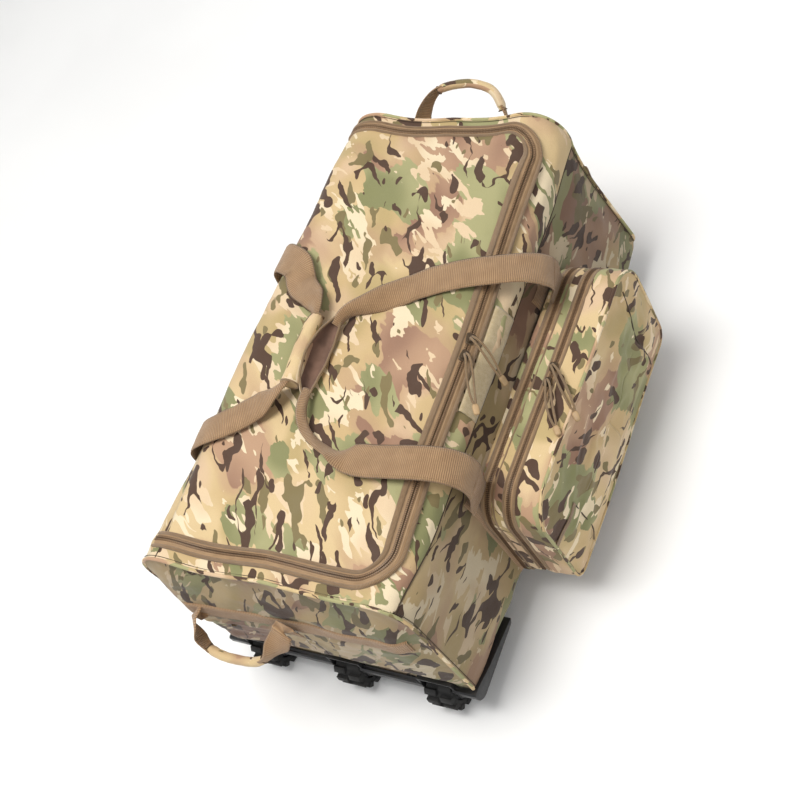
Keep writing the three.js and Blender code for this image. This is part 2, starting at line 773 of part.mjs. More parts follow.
// Width directions: upright at the seams, turned to lean ([x, z]) further out.
const loopSides = (path, [leanX, leanZ]) => {
  const seams = [path[0], path[path.length - 1]];
  return path.map((p) => {
    const fromSeam = Math.min(
      ...seams.map((seam) => Math.hypot(p[0] - seam[0], p[1] - seam[1], p[2] - seam[2])),
    );
    const turned = Math.min(1, fromSeam / TURN_LENGTH);
    return [leanX * turned, 0, leanZ * turned + (1 - turned)];
  });
};
// The sleeve covers the path points from sleeveStart up to, not including, sleeveEnd.
const addEndHandle = ({ name, points, lean, sleeveStart, sleeveEnd }) => {
  const path = smooth(points, 30);
  const sides = loopSides(path, lean);
  const web = strap(path, sides, END_STRAP_W, WEBBING_T);
  add(name + "_webbing", web, webbing);
  const sleeve = strap(
    path.slice(sleeveStart, sleeveEnd),
    sides.slice(sleeveStart, sleeveEnd),
    SLEEVE.width,
    SLEEVE.thickness,
  );
  const slot = strap(path, sides, SLEEVE.slotWidth, SLEEVE.slotThickness);
  add(name + "_sleeve", largest(sleeve.subtract(slot)).subtract(web), camo);
};
addEndHandle({
  name: "top_handle",
  points: [
    [386.6, 112, BAND_Z], [400, 112, 204], [430, 102, 240],
    [458, 76, 272], [468, 32, 282], [458, -12, 274],
    [430, -44, 242], [400, -56, 204], [386.6, -56, BAND_Z],
  ],
  lean: [-0.64, 0.77],
  sleeveStart: 9,
  sleeveEnd: 23,
});
addEndHandle({
  name: "wheel_end_handle",
  points: [
    [-384.4, 161, BAND_Z], [-396, 161, 201], [-420, 159, 190],
    [-440, 147, 180], [-446, 113, 176], [-448, 73, 176],
    [-442, 39, 181], [-424, 15, 191], [-400, 3, 201],
    [-384.4, 1, BAND_Z],
  ],
  lean: [0.55, 0.83],
  sleeveStart: 9,
  sleeveEnd: 21,
});

// ---------------------------------------------------------------- zipper sliders and pulls
// [x, y] before the slider is tilted; the narrow end points to -X
const SLIDER_OUTLINE = [
  [-7, -4], [-3, -5.5], [7, -5.5],
  [7, 5.5], [-3, 5.5], [-7, 4],
];
const slider = (at, tilt) =>
  new THREE.ExtrudeGeometry(outline(SLIDER_OUTLINE), {
    depth: 4.5,
    bevelEnabled: true,
    bevelSize: 0.8,
    bevelThickness: 0.8,
    bevelSegments: 1,
  })
    .applyMatrix4(new THREE.Matrix4().makeRotationFromEuler(new THREE.Euler(...tilt)))
    .translate(...at);
// A pull: a cord with a thicker end, from start over the given reach.
const pull = (start, reach, side) => {
  const piece = (from, to, width, thickness) => {
    const path = [from, to].map((part) => start.map((v, axis) => v + reach[axis] * part));
    return strap(path, [side, side], width, thickness);
  };
  return piece(0, 0.72, 6, 3).add(piece(0.7, 1, 10, 5));
};

// The main zipper near the sliders: its position at x = 0, rise per millimetre of x, and tilt
const MAIN_ZIP = {
  y: -161.2,
  z: 316.9,
  slopeY: 22 / 610,
  slopeZ: 7 / 610,
  roll: 0.56, // about X, down towards the near side
  yaw: 0.036, // about Z
};
// A point over the main zipper, lifted square to the surface.
const onMain = (x, lift) => [
  x,
  MAIN_ZIP.y + x * MAIN_ZIP.slopeY - Math.sin(MAIN_ZIP.roll) * lift,
  MAIN_ZIP.z + x * MAIN_ZIP.slopeZ + Math.cos(MAIN_ZIP.roll) * lift,
];
const MAIN_SLIDER_LIFT = 5.2;
const MAIN_PULL_LIFT = 15.5;
const addMainSlider = (end, x, turn) =>
  add(
    "main_slider_" + end,
    slider(onMain(x, MAIN_SLIDER_LIFT), [MAIN_ZIP.roll, 0, MAIN_ZIP.yaw + turn]),
    zipMetal,
  );
const addMainPull = (end, x, reach, side) =>
  add("main_pull_" + end, pull(onMain(x, MAIN_PULL_LIFT), reach, side), cordTan);
addMainSlider("wheel_end", -16, 0);
addMainSlider("handle_end", 10, Math.PI);
addMainPull("wheel_end", -14, [-66, -34, -16], [0.4, -0.75, -0.5]);
addMainPull("handle_end", 12, [-34, -34, -40], [0.9, -0.3, -0.3]);

const POCKET_SLIDER_Z = POCKET.z1 + 4.2;
const POCKET_PULL_Z = POCKET.z1 + 13.8;
const addPocketSlider = (end, x, turn) =>
  add(
    "pocket_slider_" + end,
    slider([x, POCKET_ZIP_Y, POCKET_SLIDER_Z], [0, 0, turn]),
    zipMetal,
  );
const addPocketPull = (end, x, fromZip, reach, side) =>
  add(
    "pocket_pull_" + end,
    pull([x, POCKET_ZIP_Y - fromZip, POCKET_PULL_Z], reach, side),
    cordTan,
  );
addPocketSlider("wheel_end", 6, 0);
addPocketSlider("handle_end", 30, Math.PI);
addPocketPull("wheel_end", 6, 3, [-82, -31, 0], [0.35, -0.93, 0]);
addPocketPull("handle_end", 30, 9, [-72, -41, 0], [0.5, -0.86, 0]);

bag.position.set(0, 0, -BASE_Z);

export default bag;
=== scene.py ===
"""Rolling duffel bag: sewn shells, zippers, webbing, handles, wheels and the studio.

Frame: origin in the middle of the base's underside, +X to the pull-handle end, -X to the wheel
end, -Y to the near side with its pocket, +Y to the far side, +Z up.
The builders work in millimetres, and meshes are made in metres. A place on the body is given as
(x, s): s is the distance round the cross-section from the middle of the top, negative on the
near side. A sign of -1 stands for the near side or the wheel end, +1 for the far side or the
handle end.
"""
import math

import bmesh
import bpy
import numpy as np
from mathutils import Matrix, Vector


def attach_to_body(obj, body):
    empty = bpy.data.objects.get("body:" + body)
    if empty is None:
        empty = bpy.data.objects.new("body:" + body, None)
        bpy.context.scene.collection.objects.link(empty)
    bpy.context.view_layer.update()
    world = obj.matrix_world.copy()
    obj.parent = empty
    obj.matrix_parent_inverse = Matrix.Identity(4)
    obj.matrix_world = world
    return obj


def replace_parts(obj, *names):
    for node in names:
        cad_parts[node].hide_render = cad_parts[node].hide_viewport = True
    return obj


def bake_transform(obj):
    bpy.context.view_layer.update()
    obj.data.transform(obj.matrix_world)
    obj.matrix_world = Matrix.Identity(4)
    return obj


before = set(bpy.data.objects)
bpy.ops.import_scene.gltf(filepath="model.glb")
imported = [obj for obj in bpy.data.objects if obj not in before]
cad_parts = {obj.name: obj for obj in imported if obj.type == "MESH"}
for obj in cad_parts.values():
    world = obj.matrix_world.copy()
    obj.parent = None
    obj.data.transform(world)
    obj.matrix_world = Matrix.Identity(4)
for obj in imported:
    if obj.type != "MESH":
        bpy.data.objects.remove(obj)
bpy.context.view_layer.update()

DENSITY = 1.0  # of the grids
STRAP_DENSITY = max(DENSITY, 0.7)
MM = 0.001
QUARTER = math.pi / 2

# ------------------------------------------------------------------ numbers and noise
_random = np.random.RandomState(7)
PERMUTATION = np.concatenate([_random.permutation(256)] * 3)
GRADIENTS = _random.normal(size=(256, 3))
GRADIENTS /= np.linalg.norm(GRADIENTS, axis=1)[:, None]


def stack(*parts):
    """Broadcasts the coordinates together and stacks them into points."""
    return np.stack(np.broadcast_arrays(*parts), -1)


def perlin(x, y, z):
    """Gradient noise, roughly within -1..1."""
    spot = np.stack(np.broadcast_arrays(*(np.asarray(value, float) for value in (x, y, z))))
    cell = np.floor(spot).astype(int)
    part = spot - cell
    ease = part * part * part * (part * (part * 6 - 15) + 10)
    total = 0.0
    for i, j, k in np.ndindex(2, 2, 2):
        key = PERMUTATION[PERMUTATION[(cell[0] + i) & 255] + ((cell[1] + j) & 255)]
        slope = GRADIENTS[PERMUTATION[key + ((cell[2] + k) & 255)]]
        rise = slope[..., 0] * (part[0] - i) + slope[..., 1] * (part[1] - j)
        rise = rise + slope[..., 2] * (part[2] - k)
        share = [e if on else 1 - e for e, on in zip(ease, (i, j, k))]
        total = total + share[0] * share[1] * share[2] * rise
    return total * 1.6


def ridged(x, y, z):
    return 1.0 - np.abs(perlin(x, y, z)) * 2.0


def smoothstep(start, end, value):
    share = np.clip((np.asarray(value, float) - start) / (end - start), 0, 1)
    return share * share * (3 - 2 * share)


def hump(value, centre, width):
    """A bell of height 1 at the centre."""
    return np.exp(-(((value - centre) / width) ** 2))


# ------------------------------------------------------------------ body surface
HALF_LENGTH = 380.0
TOP_WHEEL, TOP_HANDLE = 284.0, 301.0  # height of the top at each end
BASE_HALF = 208.0  # half widths at the foot of the walls and at the top
HALF_WHEEL, HALF_HANDLE = 208.0, 169.0
SHOULDER = 60.0  # radius between top and wall
FOOT = 22.0  # radius between wall and base
LIFT_WHEEL, LIFT_HANDLE = 14.0, 18.0  # radius of the base's rise at each end
SEAM_X = 377.0  # the end seams


def top_z(x):
    return TOP_WHEEL + (TOP_HANDLE - TOP_WHEEL) * (x + HALF_LENGTH) / (2 * HALF_LENGTH)


def half_top(x):
    return HALF_WHEEL + (HALF_HANDLE - HALF_WHEEL) * (x + HALF_LENGTH) / (2 * HALF_LENGTH)


def flat_half(x):
    return half_top(x) - SHOULDER


def shoulder_end(x):
    """Distance round the section from the middle of the top to the end of the shoulder."""
    return flat_half(x) + SHOULDER * math.pi / 2


def lift_of(x):
    """How far the underside rises at the ends."""
    inside = HALF_LENGTH - np.abs(x)

    def rise(radius):
        arc = radius - np.sqrt(np.clip(radius**2 - (radius - inside) ** 2, 0, None))
        return np.where(inside < radius, arc, 0)

    return np.where(x < 0, rise(LIFT_WHEEL), rise(LIFT_HANDLE))


def wall_length(x):
    drop = (top_z(x) - SHOULDER) - (lift_of(x) + FOOT)
    return np.hypot(BASE_HALF - half_top(x), drop)


def plain_surface(x, s):
    """The body before the unevenness that packing gives it."""
    x, s = np.broadcast_arrays(np.asarray(x, float), np.asarray(s, float))
    sign = np.where(s < 0, -1.0, 1.0)
    around = np.abs(s)
    half, high, flat, lift = half_top(x), top_z(x), flat_half(x), lift_of(x)
    wall_start = shoulder_end(x)
    length = wall_length(x)
    foot_start = wall_start + length
    foot_end = foot_start + FOOT * math.pi / 2
    turn = np.clip((around - flat) / SHOULDER, 0, QUARTER)
    down = np.clip((around - wall_start) / length, 0, 1)
    foot_turn = np.clip((around - foot_start) / FOOT, 0, QUARTER)
    y = np.select(
        [around < flat, around < wall_start, around < foot_start, around < foot_end],
        [
            around,
            flat + SHOULDER * np.sin(turn),
            half + (BASE_HALF - half) * down,
            BASE_HALF - FOOT + FOOT * np.cos(foot_turn),
        ],
        BASE_HALF - FOOT - (around - foot_end),
    )
    z = np.select(
        [around < wall_start, around < foot_start, around < foot_end],
        [
            high - SHOULDER * (1 - np.cos(turn)),
            (high - SHOULDER) + ((lift + FOOT) - (high - SHOULDER)) * down,
            lift + FOOT - FOOT * np.sin(foot_turn),
        ],
        lift,
    )
    # the top sinks: far side of the wheel end, far side of the handle end, and the middle
    sag = 19 * hump(y, 112, 95.0) * smoothstep(-160, -385, x)
    sag = sag + 7 * hump(y, 60, 90.0) * smoothstep(240, 385, x)
    sag = sag + 3.5 * hump(x, 60, 190.0) * smoothstep(150, 40, np.abs(y))
    z = z - sag * smoothstep(190, 262, z)
    return stack(x, sign * y, z)


def normals(x, s, probe=1.5):
    """Outward normals of the plain surface."""
    along = plain_surface(x + probe, s) - plain_surface(x - probe, s)
    across = plain_surface(x, s + probe) - plain_surface(x, s - probe)
    normal = np.cross(along, across)
    normal /= np.linalg.norm(normal, axis=-1)[..., None] + 1e-9
    points = plain_surface(x, s)
    core = stack(points[..., 0] * 0.8, 0.0, 140.0)
    normal[((points - core) * normal).sum(-1) < 0] *= -1
    return normal


def shell(x, s, raised):
    """The body's surface with the slow unevenness that every layer shares, raised by mm."""
    points = plain_surface(x, s)
    inside = smoothstep(0, 60, HALF_LENGTH - np.abs(x))
    slow = 2.2 * perlin(x / 150.0 + 3, s / 120.0, 1.7) * inside
    # packed corners: near shoulder at the handle end, then the far shoulder all along
    middle = flat_half(x) + SHOULDER * 0.85
    slow = slow + 9.0 * smoothstep(180, 350, x) * hump(s, -middle, 52.0)
    far_stations = [-380, -340, -225, -165, -100, 80, 230, 330, 380]
    far_loft = np.interp(x, far_stations, [20, 17.5, 10, 12.5, 15, 15, 18, 22, 23])
    down_wall = np.interp(x, [-380, -230], [125, 66])
    spread = np.where(s > middle + 6, down_wall, 62.0)
    slow = slow + far_loft * hump(s - middle, 6, spread)
    slow = slow + 5.0 * smoothstep(310, 376, x) * hump(s + middle, 30, 58.0)
    points = points + normals(x, s) * (slow + raised)[..., None]
    # the upper handle end leans outwards
    points[..., 0] += 6.0 * smoothstep(318, 377, x) * smoothstep(150, 255, points[..., 2])
    return points


def point_on(x, s, raised):
    """One point of the shell as [x, y, z]."""
    return shell(*(np.array([float(value)]) for value in (x, s, raised)))[0].tolist()


# ------------------------------------------------------------------ shader helpers
MATERIALS = {}
MIDDLE = (0.3, 0.7)  # where most noise values lie


def srgb(red, green, blue):
    def linear(value):
        return value / 12.92 if value <= 0.04045 else ((value + 0.055) / 1.055) ** 2.4

    return (linear(red / 255), linear(green / 255), linear(blue / 255), 1.0)


class Shader:
    """A node material. Inputs that are sockets get linked, anything else is set as a value."""

    def __init__(self, name):
        self.name = name
        self.material = bpy.data.materials.new(name)
        self.material.use_nodes = True
        self.tree = self.material.node_tree
        self.tree.nodes.clear()
        output = self.node("OutputMaterial")
        self.surface = self.node("BsdfPrincipled")
        self.tree.links.new(self.surface.outputs[0], output.inputs[0])

    def set(self, socket, value):
        if isinstance(value, bpy.types.NodeSocket):
            self.tree.links.new(value, socket)
        else:
            socket.default_value = value

    def node(self, kind, inputs=None, **settings):
        node = self.tree.nodes.new("ShaderNode" + kind)
        for key, value in settings.items():
            setattr(node, key, value)
        for key, value in (inputs or {}).items():
            self.set(node.inputs[key], value)
        return node

    def math(self, operation, first, second=0.0, *third):
        inputs = dict(enumerate((first, second, *third)))
        return self.node("Math", inputs, operation=operation).outputs[0]

    def add(self, first, second):
        return self.math("ADD", first, second)

    def sub(self, first, second):
        return self.math("SUBTRACT", first, second)

    def mul(self, first, second):
        return self.math("MULTIPLY", first, second)

    def sine(self, coordinate, pitch):
        return self.math("SINE", self.mul(coordinate, 2 * math.pi / pitch))

    def ripple(self, coordinate, pitch):
        """A sine wave within 0..1."""
        return self.math("MULTIPLY_ADD", self.sine(coordinate, pitch), 0.5, 0.5)

    def ramp(self, value, span=MIDDLE, to=(0.0, 1.0)):
        """Smoothly maps the span of values to another range."""
        inputs = dict(enumerate((value, *span, *to)))
        return self.node("MapRange", inputs, interpolation_type="SMOOTHSTEP").outputs[0]

    def mix(self, factor, first, second, mode="MIX"):
        inputs = {0: factor, 6: first, 7: second}
        node = self.node("Mix", data_type="RGBA", blend_type=mode, clamp_factor=True)
        for key, value in inputs.items():
            self.set(node.inputs[key], value)
        return node.outputs[2]

    def noise(self, vector, scale, detail=2.0, rough=0.5, out=0):
        inputs = {"Vector": vector, "Scale": scale, "Detail": detail, "Roughness": rough}
        return self.node("TexNoise", inputs, noise_dimensions="3D").outputs[out]

    def mapping(self, vector, move=(0, 0, 0), turn=0, scale=(1, 1, 1)):
        """Moves, turns about Z and scales coordinates."""
        return self.node("Mapping", {0: vector, 1: move, 2: (0, 0, turn), 3: scale}).outputs[0]

    def uv(self):
        return self.node("UVMap", uv_map="UVMap").outputs[0]

    def split(self, vector):
        return self.node("SeparateXYZ", {0: vector}).outputs[:2]

    def object_coords(self):
        return self.node("TexCoord").outputs["Object"]

    def bump(self, height, strength, distance, under=None):
        inputs = {"Strength": strength, "Distance": distance, "Height": height}
        if under is not None:
            inputs["Normal"] = under
        return self.node("Bump", inputs).outputs[0]

    def finish(self, color, rough, normal=None, metal=0.0, sheen=0.0, spec=None):
        inputs = {"Base Color": color, "Roughness": rough, "Metallic": metal}
        if sheen:
            inputs.update({"Sheen Weight": sheen, "Sheen Roughness": 0.5})
        if spec is not None:
            inputs["Specular IOR Level"] = spec
        if normal is not None:
            inputs["Normal"] = normal
        for key, value in inputs.items():
            self.set(self.surface.inputs[key], value)
        MATERIALS[self.name] = self.material


def weave(m, uv, pitch):
    """Height of a plain weave, in 0..1, from uv in metres."""
    u, v = m.split(uv)
    return m.math("MULTIPLY_ADD", m.mul(m.sine(u, pitch), m.sine(v, pitch)), 0.5, 0.5)


# ------------------------------------------------------------------ materials
SAND, SAND_LIGHT = srgb(199, 171, 124), srgb(214, 188, 142)
KHAKI, ROSE = srgb(182, 160, 110), srgb(214, 184, 152)
CLAY, CLAY_LIGHT = srgb(150, 114, 92), srgb(184, 148, 118)
GREEN, GREEN_LIGHT = srgb(134, 134, 90), srgb(166, 162, 116)
CREAM, CREAM_WARM = srgb(232, 214, 180), srgb(222, 196, 160)
OLIVE, DARK_BROWN = srgb(126, 112, 74), srgb(78, 55, 41)

CAMO_FIELDS = {
    # source coordinates, offset, turn, stretch across the grain, scale, detail, roughness
    "soft": ("plain", (1.1, 0.3), 0.2, 1.5, 7.0, 1.0, 0.5),
    "rose": ("plain", (5.1, 2.3), 0.5, 1.3, 9.0, 1.0, 0.5),
    "khaki": ("plain", (3.3, 7.1), 0.1, 1.2, 9.0, 1.0, 0.5),
    "clay": ("torn", (3.7, 8.2), 0, 0.62, 5.6, 1.5, 0.45),
    "green": ("torn", (9.3, 4.4), 0, 0.5, 8.2, 1.6, 0.45),
    "fleck": ("torn", (2.2, 6.6), 0, 0.8, 19.0, 2.2, 0.55),
    "fleck_drift": ("plain", (7.7, 1.6), 0, 1.4, 8.5, 1.0, 0.5),
    "olive": ("small", (8.8, 9.1), -0.2, 2.2, 21.0, 1.0, 0.5),
    "olive_drift": ("plain", (1.2, 3.9), 0, 1, 9.0, 1.0, 0.5),
    "stroke": ("small", (4.1, 7.3), 0, 3.0, 11.5, 0.4, 0.5),
    "dark_drift": ("plain", (6.1, 5.9), 0.3, 1.9, 11.5, 0.5, 0.5),
    "bead": ("small", (0.3, 4.9), 0, 1.2, 42.0, 0.3, 0.5),
    "drop": ("small", (2.9, 0.4), 0.1, 2.0, 27.0, 0.4, 0.5),
}


def camo_color(m, uv, angle, seed):
    """Blotched pattern: sand ground, green and clay fields, light flecks, dark strokes."""

    def warp(vector, scale, shift_x, shift_y, detail=1.0):
        noise = m.noise(vector, scale, detail, out=1)
        centred = m.node("VectorMath", {0: noise, 1: (0.5, 0.5, 0.5)}, operation="SUBTRACT")
        inputs = {0: centred.outputs[0], 1: (shift_x, shift_y, 0.0), 2: vector}
        return m.node("VectorMath", inputs, operation="MULTIPLY_ADD").outputs[0]

    base = m.mapping(uv, (seed * 1.37, seed * 0.71, seed * 2.1), angle)
    plain = warp(base, scale=15.0, shift_x=0.030, shift_y=0.020)
    # edges that tear into fingers along the grain
    grain = m.mapping(m.mapping(plain, turn=-0.42), scale=(1, 3.2, 1))
    torn = warp(grain, scale=26.0, shift_x=0.055, shift_y=0.012, detail=2.0)
    small = warp(plain, scale=60.0, shift_x=0.010, shift_y=0.010)
    sources = {"plain": plain, "torn": torn, "small": small}
    field = {}
    for key, (source, offset, turn, stretch, scale, detail, rough) in CAMO_FIELDS.items():
        moved = m.mapping(sources[source], (*offset, 0), turn, (1, stretch, 1))
        field[key] = m.noise(moved, scale, detail, rough)

    def lay(under, color, value, start, end, strength=1.0):
        """Lays a colour where the value rises from start to end."""
        return m.mix(m.ramp(value, (start, end), (0.0, strength)), under, color)

    def gather(value, drift, amount, middle=0.5):
        """Raises the value where the drift is high."""
        return m.add(value, m.mul(m.sub(drift, middle), amount))

    soft, rose, clay, drift = (field[key] for key in ("soft", "rose", "clay", "dark_drift"))
    color = lay(SAND, SAND_LIGHT, soft, 0.38, 0.62)
    color = lay(color, ROSE, rose, 0.54, 0.68, 0.8)
    color = lay(color, KHAKI, field["khaki"], 0.52, 0.66, 0.85)
    # clay fields fade on one side and tear on the other
    color = lay(color, CLAY_LIGHT, clay, 0.49, 0.585, 0.6)
    color = lay(color, lay(CLAY, CLAY_LIGHT, soft, 0.36, 0.60), clay, 0.580, 0.585)
    greens = lay(GREEN, GREEN_LIGHT, rose, 0.34, 0.60)
    color = lay(color, greens, field["green"], 0.546, 0.551)
    flecks = gather(field["fleck"], field["fleck_drift"], 0.7)
    color = lay(color, lay(CREAM, CREAM_WARM, rose, 0.4, 0.6), flecks, 0.588, 0.594)
    olives = gather(field["olive"], field["olive_drift"], 0.5)
    color = lay(color, OLIVE, olives, 0.648, 0.654)
    # dark strokes: beaded and branching, running one way
    ridge = m.math("ABSOLUTE", m.sub(field["stroke"], 0.5))
    width = m.math("MULTIPLY_ADD", m.sub(field["bead"], 0.37), 0.125, 0.0)
    width = gather(width, drift, 0.20, middle=0.57)
    core = m.ramp(m.sub(ridge, width), (-0.002, 0.002), (1.0, 0.0))
    color = m.mix(m.mul(core, m.ramp(drift, (0.505, 0.510))), color, DARK_BROWN)
    # separate drops of the same colour
    return lay(color, DARK_BROWN, gather(field["drop"], drift, 0.35), 0.685, 0.690)


def camo(name, angle, seed, shade=1.0, scale=1.0, rough=0.72):
    m = Shader(name)
    uv = m.uv()
    pattern_uv = m.mapping(uv, scale=(scale, scale, scale)) if scale != 1.0 else uv
    color = camo_color(m, pattern_uv, angle, seed)
    # painted shade: the pattern is darkened by the shade factor to stand for how much light falls
    # on this panel
    if shade != 1.0:
        color = m.mix(1.0, color, (shade, shade, shade, 1), "MULTIPLY")
    # thread-to-thread colour variation
    threads = m.noise(uv, scale=900.0, detail=1.0, rough=0.6)
    color = m.mix(m.ramp(threads, to=(0.0, 0.10)), color, srgb(96, 78, 56))
    slub = m.noise(m.mapping(uv, scale=(1, 9, 1)), scale=160.0, detail=2.0, rough=0.6)
    cloth = m.noise(uv, scale=55.0, detail=3.0, rough=0.55)
    height = m.add(m.mul(weave(m, uv, pitch=0.0016), 0.6), m.mul(slub, 0.5))
    normal = m.bump(height, strength=0.20, distance=0.0006)
    normal = m.bump(cloth, strength=0.16, distance=0.006, under=normal)
    roughness = m.ramp(m.noise(uv, scale=30.0), to=(rough - 0.07, rough + 0.07))
    m.finish(color, roughness, normal, sheen=0.12, spec=0.35)


def ribbed(name, light=srgb(182, 146, 106), dark=srgb(126, 95, 65), pitch=0.0027, width=None):
    """Ribbed webbing: U runs along it, V across from 0, in metres.

    A width adds a row of stitches along each edge.
    """
    m = Shader(name)
    uv = m.uv()
    u, v = m.split(uv)
    jitter = m.mul(m.sub(m.noise(uv, scale=120.0, detail=1.0), 0.5), 0.0007)
    rib = m.ripple(m.add(u, jitter), pitch)
    thread = m.ripple(v, pitch=0.0013)
    height = m.add(m.mul(rib, 0.8), m.mul(thread, 0.25))
    tone = m.noise(uv, scale=40.0, detail=3.0, rough=0.6)
    color = m.mix(m.ramp(tone), light, m.mix(0.35, light, dark))
    # painted shade: the grooves between the ribs are darkened toward the dark colour
    color = m.mix(m.mul(m.sub(1.0, rib), 0.75), color, dark)
    if width:
        inset = 0.0042
        dash = m.ramp(m.sine(u, pitch=0.0042), (-0.1, 0.1))
        distances = [m.math("ABSOLUTE", m.sub(v, row)) for row in (inset, width - inset)]
        near = m.ramp(m.math("MINIMUM", *distances), (0.0004, 0.0008), (1.0, 0.0))
        color = m.mix(m.mul(m.mul(near, dash), 0.35), color, srgb(98, 74, 50))
        height = m.sub(height, m.mul(near, 0.35))
    normal = m.bump(height, strength=0.8, distance=0.0013)
    m.finish(color, m.ramp(tone, to=(0.62, 0.78)), normal, sheen=0.25, spec=0.35)


def zipper_tape(name):
    """U runs along the tape, V across it from the closing line, in metres."""
    m = Shader(name)
    uv = m.uv()
    u, v = m.split(uv)
    chevron = m.ripple(m.add(u, m.mul(v, 0.5)), pitch=0.0022)
    lines = m.ripple(v, pitch=0.0024)
    tone = m.noise(uv, scale=60.0)
    color = m.mix(m.ramp(tone), srgb(150, 120, 86), srgb(164, 133, 98))
    # painted shade: the tape is darker beside and under the teeth
    color = m.mix(m.ramp(v, (0.0005, 0.0065), (0.75, 0.0)), color, srgb(82, 62, 43))
    color = m.mix(m.mul(lines, 0.22), color, srgb(92, 70, 49))
    normal = m.bump(m.add(m.mul(chevron, 0.5), m.mul(lines, 0.5)), strength=0.5, distance=0.0006)
    m.finish(color, m.ramp(tone, to=(0.5, 0.66)), normal, sheen=0.15, spec=0.4)


def plain_fabric(name, light, dark, rough, pitch, strength=0.2):
    m = Shader(name)
    uv = m.uv()
    tone = m.noise(uv, scale=25.0, detail=3.0, rough=0.6)
    cloth = weave(m, uv, pitch)
    color = m.mix(m.mul(cloth, 0.25), m.mix(m.ramp(tone), light, dark), dark)
    normal = m.bump(cloth, strength, distance=0.0006)
    folds = m.noise(uv, scale=45.0, detail=3.0)
    normal = m.bump(folds, strength=0.15, distance=0.006, under=normal)
    m.finish(color, m.ramp(tone, to=(rough - 0.06, rough + 0.06)), normal, sheen=0.1)


def loop_pile(name):
    m = Shader(name)
    uv = m.uv()
    fibres = m.noise(uv, scale=1400.0, detail=2.0, rough=0.7)
    tufts = m.noise(uv, scale=160.0, detail=3.0, rough=0.7)
    color = m.mix(m.ramp(fibres), srgb(166, 146, 108), srgb(200, 180, 140))
    color = m.mix(m.ramp(tufts, (0.35, 0.65), (0.0, 0.35)), color, srgb(218, 200, 164))
    m.finish(color, 0.95, m.bump(fibres, strength=0.8, distance=0.0012), sheen=0.6, spec=0.2)


def scaled(color, factor):
    return (color[0] * factor, color[1] * factor, color[2] * factor, 1)


def plastic(name, color=(0.012, 0.012, 0.013, 1), rough=0.42, grain=0.25, worn=True):
    m = Shader(name)
    coords = m.object_coords()
    fine = m.noise(coords, scale=900.0, detail=2.0, rough=0.6)
    broad = m.noise(coords, scale=18.0, detail=3.0, rough=0.6)
    scratches = m.noise(m.mapping(coords, scale=(1, 14, 1)), scale=60.0, detail=4.0, rough=0.7)
    tinted = m.mix(m.ramp(broad, (0.35, 0.7), (0.0, 0.5)), color, scaled(color, 2.2))
    roughness = m.add(
        m.ramp(broad, to=(rough - 0.06, rough + 0.10)), m.ramp(scratches, (0.55, 0.75), (0.0, 0.12))
    )
    normal = m.bump(fine, strength=grain, distance=0.0005)
    if worn:
        marks = m.ramp(scratches, (0.6, 0.75))
        normal = m.bump(marks, strength=0.12, distance=0.0005, under=normal)
    m.finish(tinted, roughness, normal, spec=0.5)


def rubber(name):
    m = Shader(name)
    coords = m.object_coords()
    fine = m.noise(coords, scale=500.0, detail=3.0, rough=0.6)
    broad = m.noise(coords, scale=30.0, detail=4.0, rough=0.65)
    shade = m.ramp(broad, (0.35, 0.75))
    color = m.mix(shade, (0.008, 0.008, 0.008, 1), (0.022, 0.021, 0.02, 1))
    normal = m.bump(fine, strength=0.35, distance=0.0008)
    m.finish(color, m.ramp(broad, to=(0.55, 0.8)), normal, spec=0.4)


def metal(name, color, rough, brush, metallic=1.0):
    """brush stretches the grain along the axis with the smallest number."""
    m = Shader(name)
    coords = m.object_coords()
    grain = m.noise(m.mapping(coords, scale=brush), scale=220.0, detail=3.0, rough=0.7)
    broad = m.noise(coords, scale=20.0)
    tinted = m.mix(m.ramp(broad, to=(0.0, 0.4)), color, scaled(color, 0.75))
    roughness = m.add(m.ramp(grain, to=(rough - 0.07, rough + 0.1)), 0.0)
    m.finish(tinted, roughness, m.bump(grain, strength=0.12, distance=0.0004), metal=metallic)


CAMO_CLOTHS = {
    # angle of the grain, seed, painted shade (a darkening that stands for how much light falls on
    # the panel, strongest on the near side and wheel end), pattern scale
    "camo_lid": (-0.45, 1.0, 0.93, 1.0),
    "camo_band": (-0.45, 4.0, 0.93, 1.0),
    "camo_side": (0.25, 7.0, 0.58, 1.0),
    "camo_far": (-0.25, 9.0, 0.88, 1.0),
    "camo_wheel_end": (1.25, 12.0, 0.58, 1.0),
    "camo_handle_end": (1.25, 15.0, 1.0, 1.0),
    "camo_pocket": (0.5, 18.0, 1.0, 1.0),
    "camo_strip": (0.9, 21.0, 1.0, 1.0),
    "camo_grip": (0.2, 24.0, 0.95, 1.5),
    "camo_piping": (0.2, 27.0, 1.0, 1.6),
}
for cloth_name, (angle, seed, shade, scale) in CAMO_CLOTHS.items():
    camo(cloth_name, angle, seed, shade, scale)
ribbed("webbing", width=0.05)
ribbed("webbing_narrow", width=0.03)
ribbed("binding", srgb(164, 133, 96), srgb(118, 91, 63), pitch=0.0016)
zipper_tape("tape")
plastic("coil", srgb(86, 64, 44), rough=0.45, grain=0.2, worn=False)
PLAIN_FABRICS = {
    # light, dark, roughness, weave pitch, weave strength
    "thread": (srgb(96, 76, 50), srgb(70, 54, 36), 0.7, 0.0008, 0.2),
    "seam": (srgb(74, 56, 36), srgb(54, 40, 27), 0.8, 0.0009, 0.2),
    "lining": (srgb(116, 96, 68), srgb(96, 80, 56), 0.62, 0.0012, 0.2),
    "base_fabric": (srgb(92, 74, 50), srgb(70, 56, 38), 0.8, 0.0022, 0.4),
    # the wrap's inside: its reverse face, in a dark brown that is painted shade for the shaded camo
    # cloth
    "wrap_inner": (srgb(128, 96, 78), srgb(92, 68, 54), 0.8, 0.0014, 0.3),
}
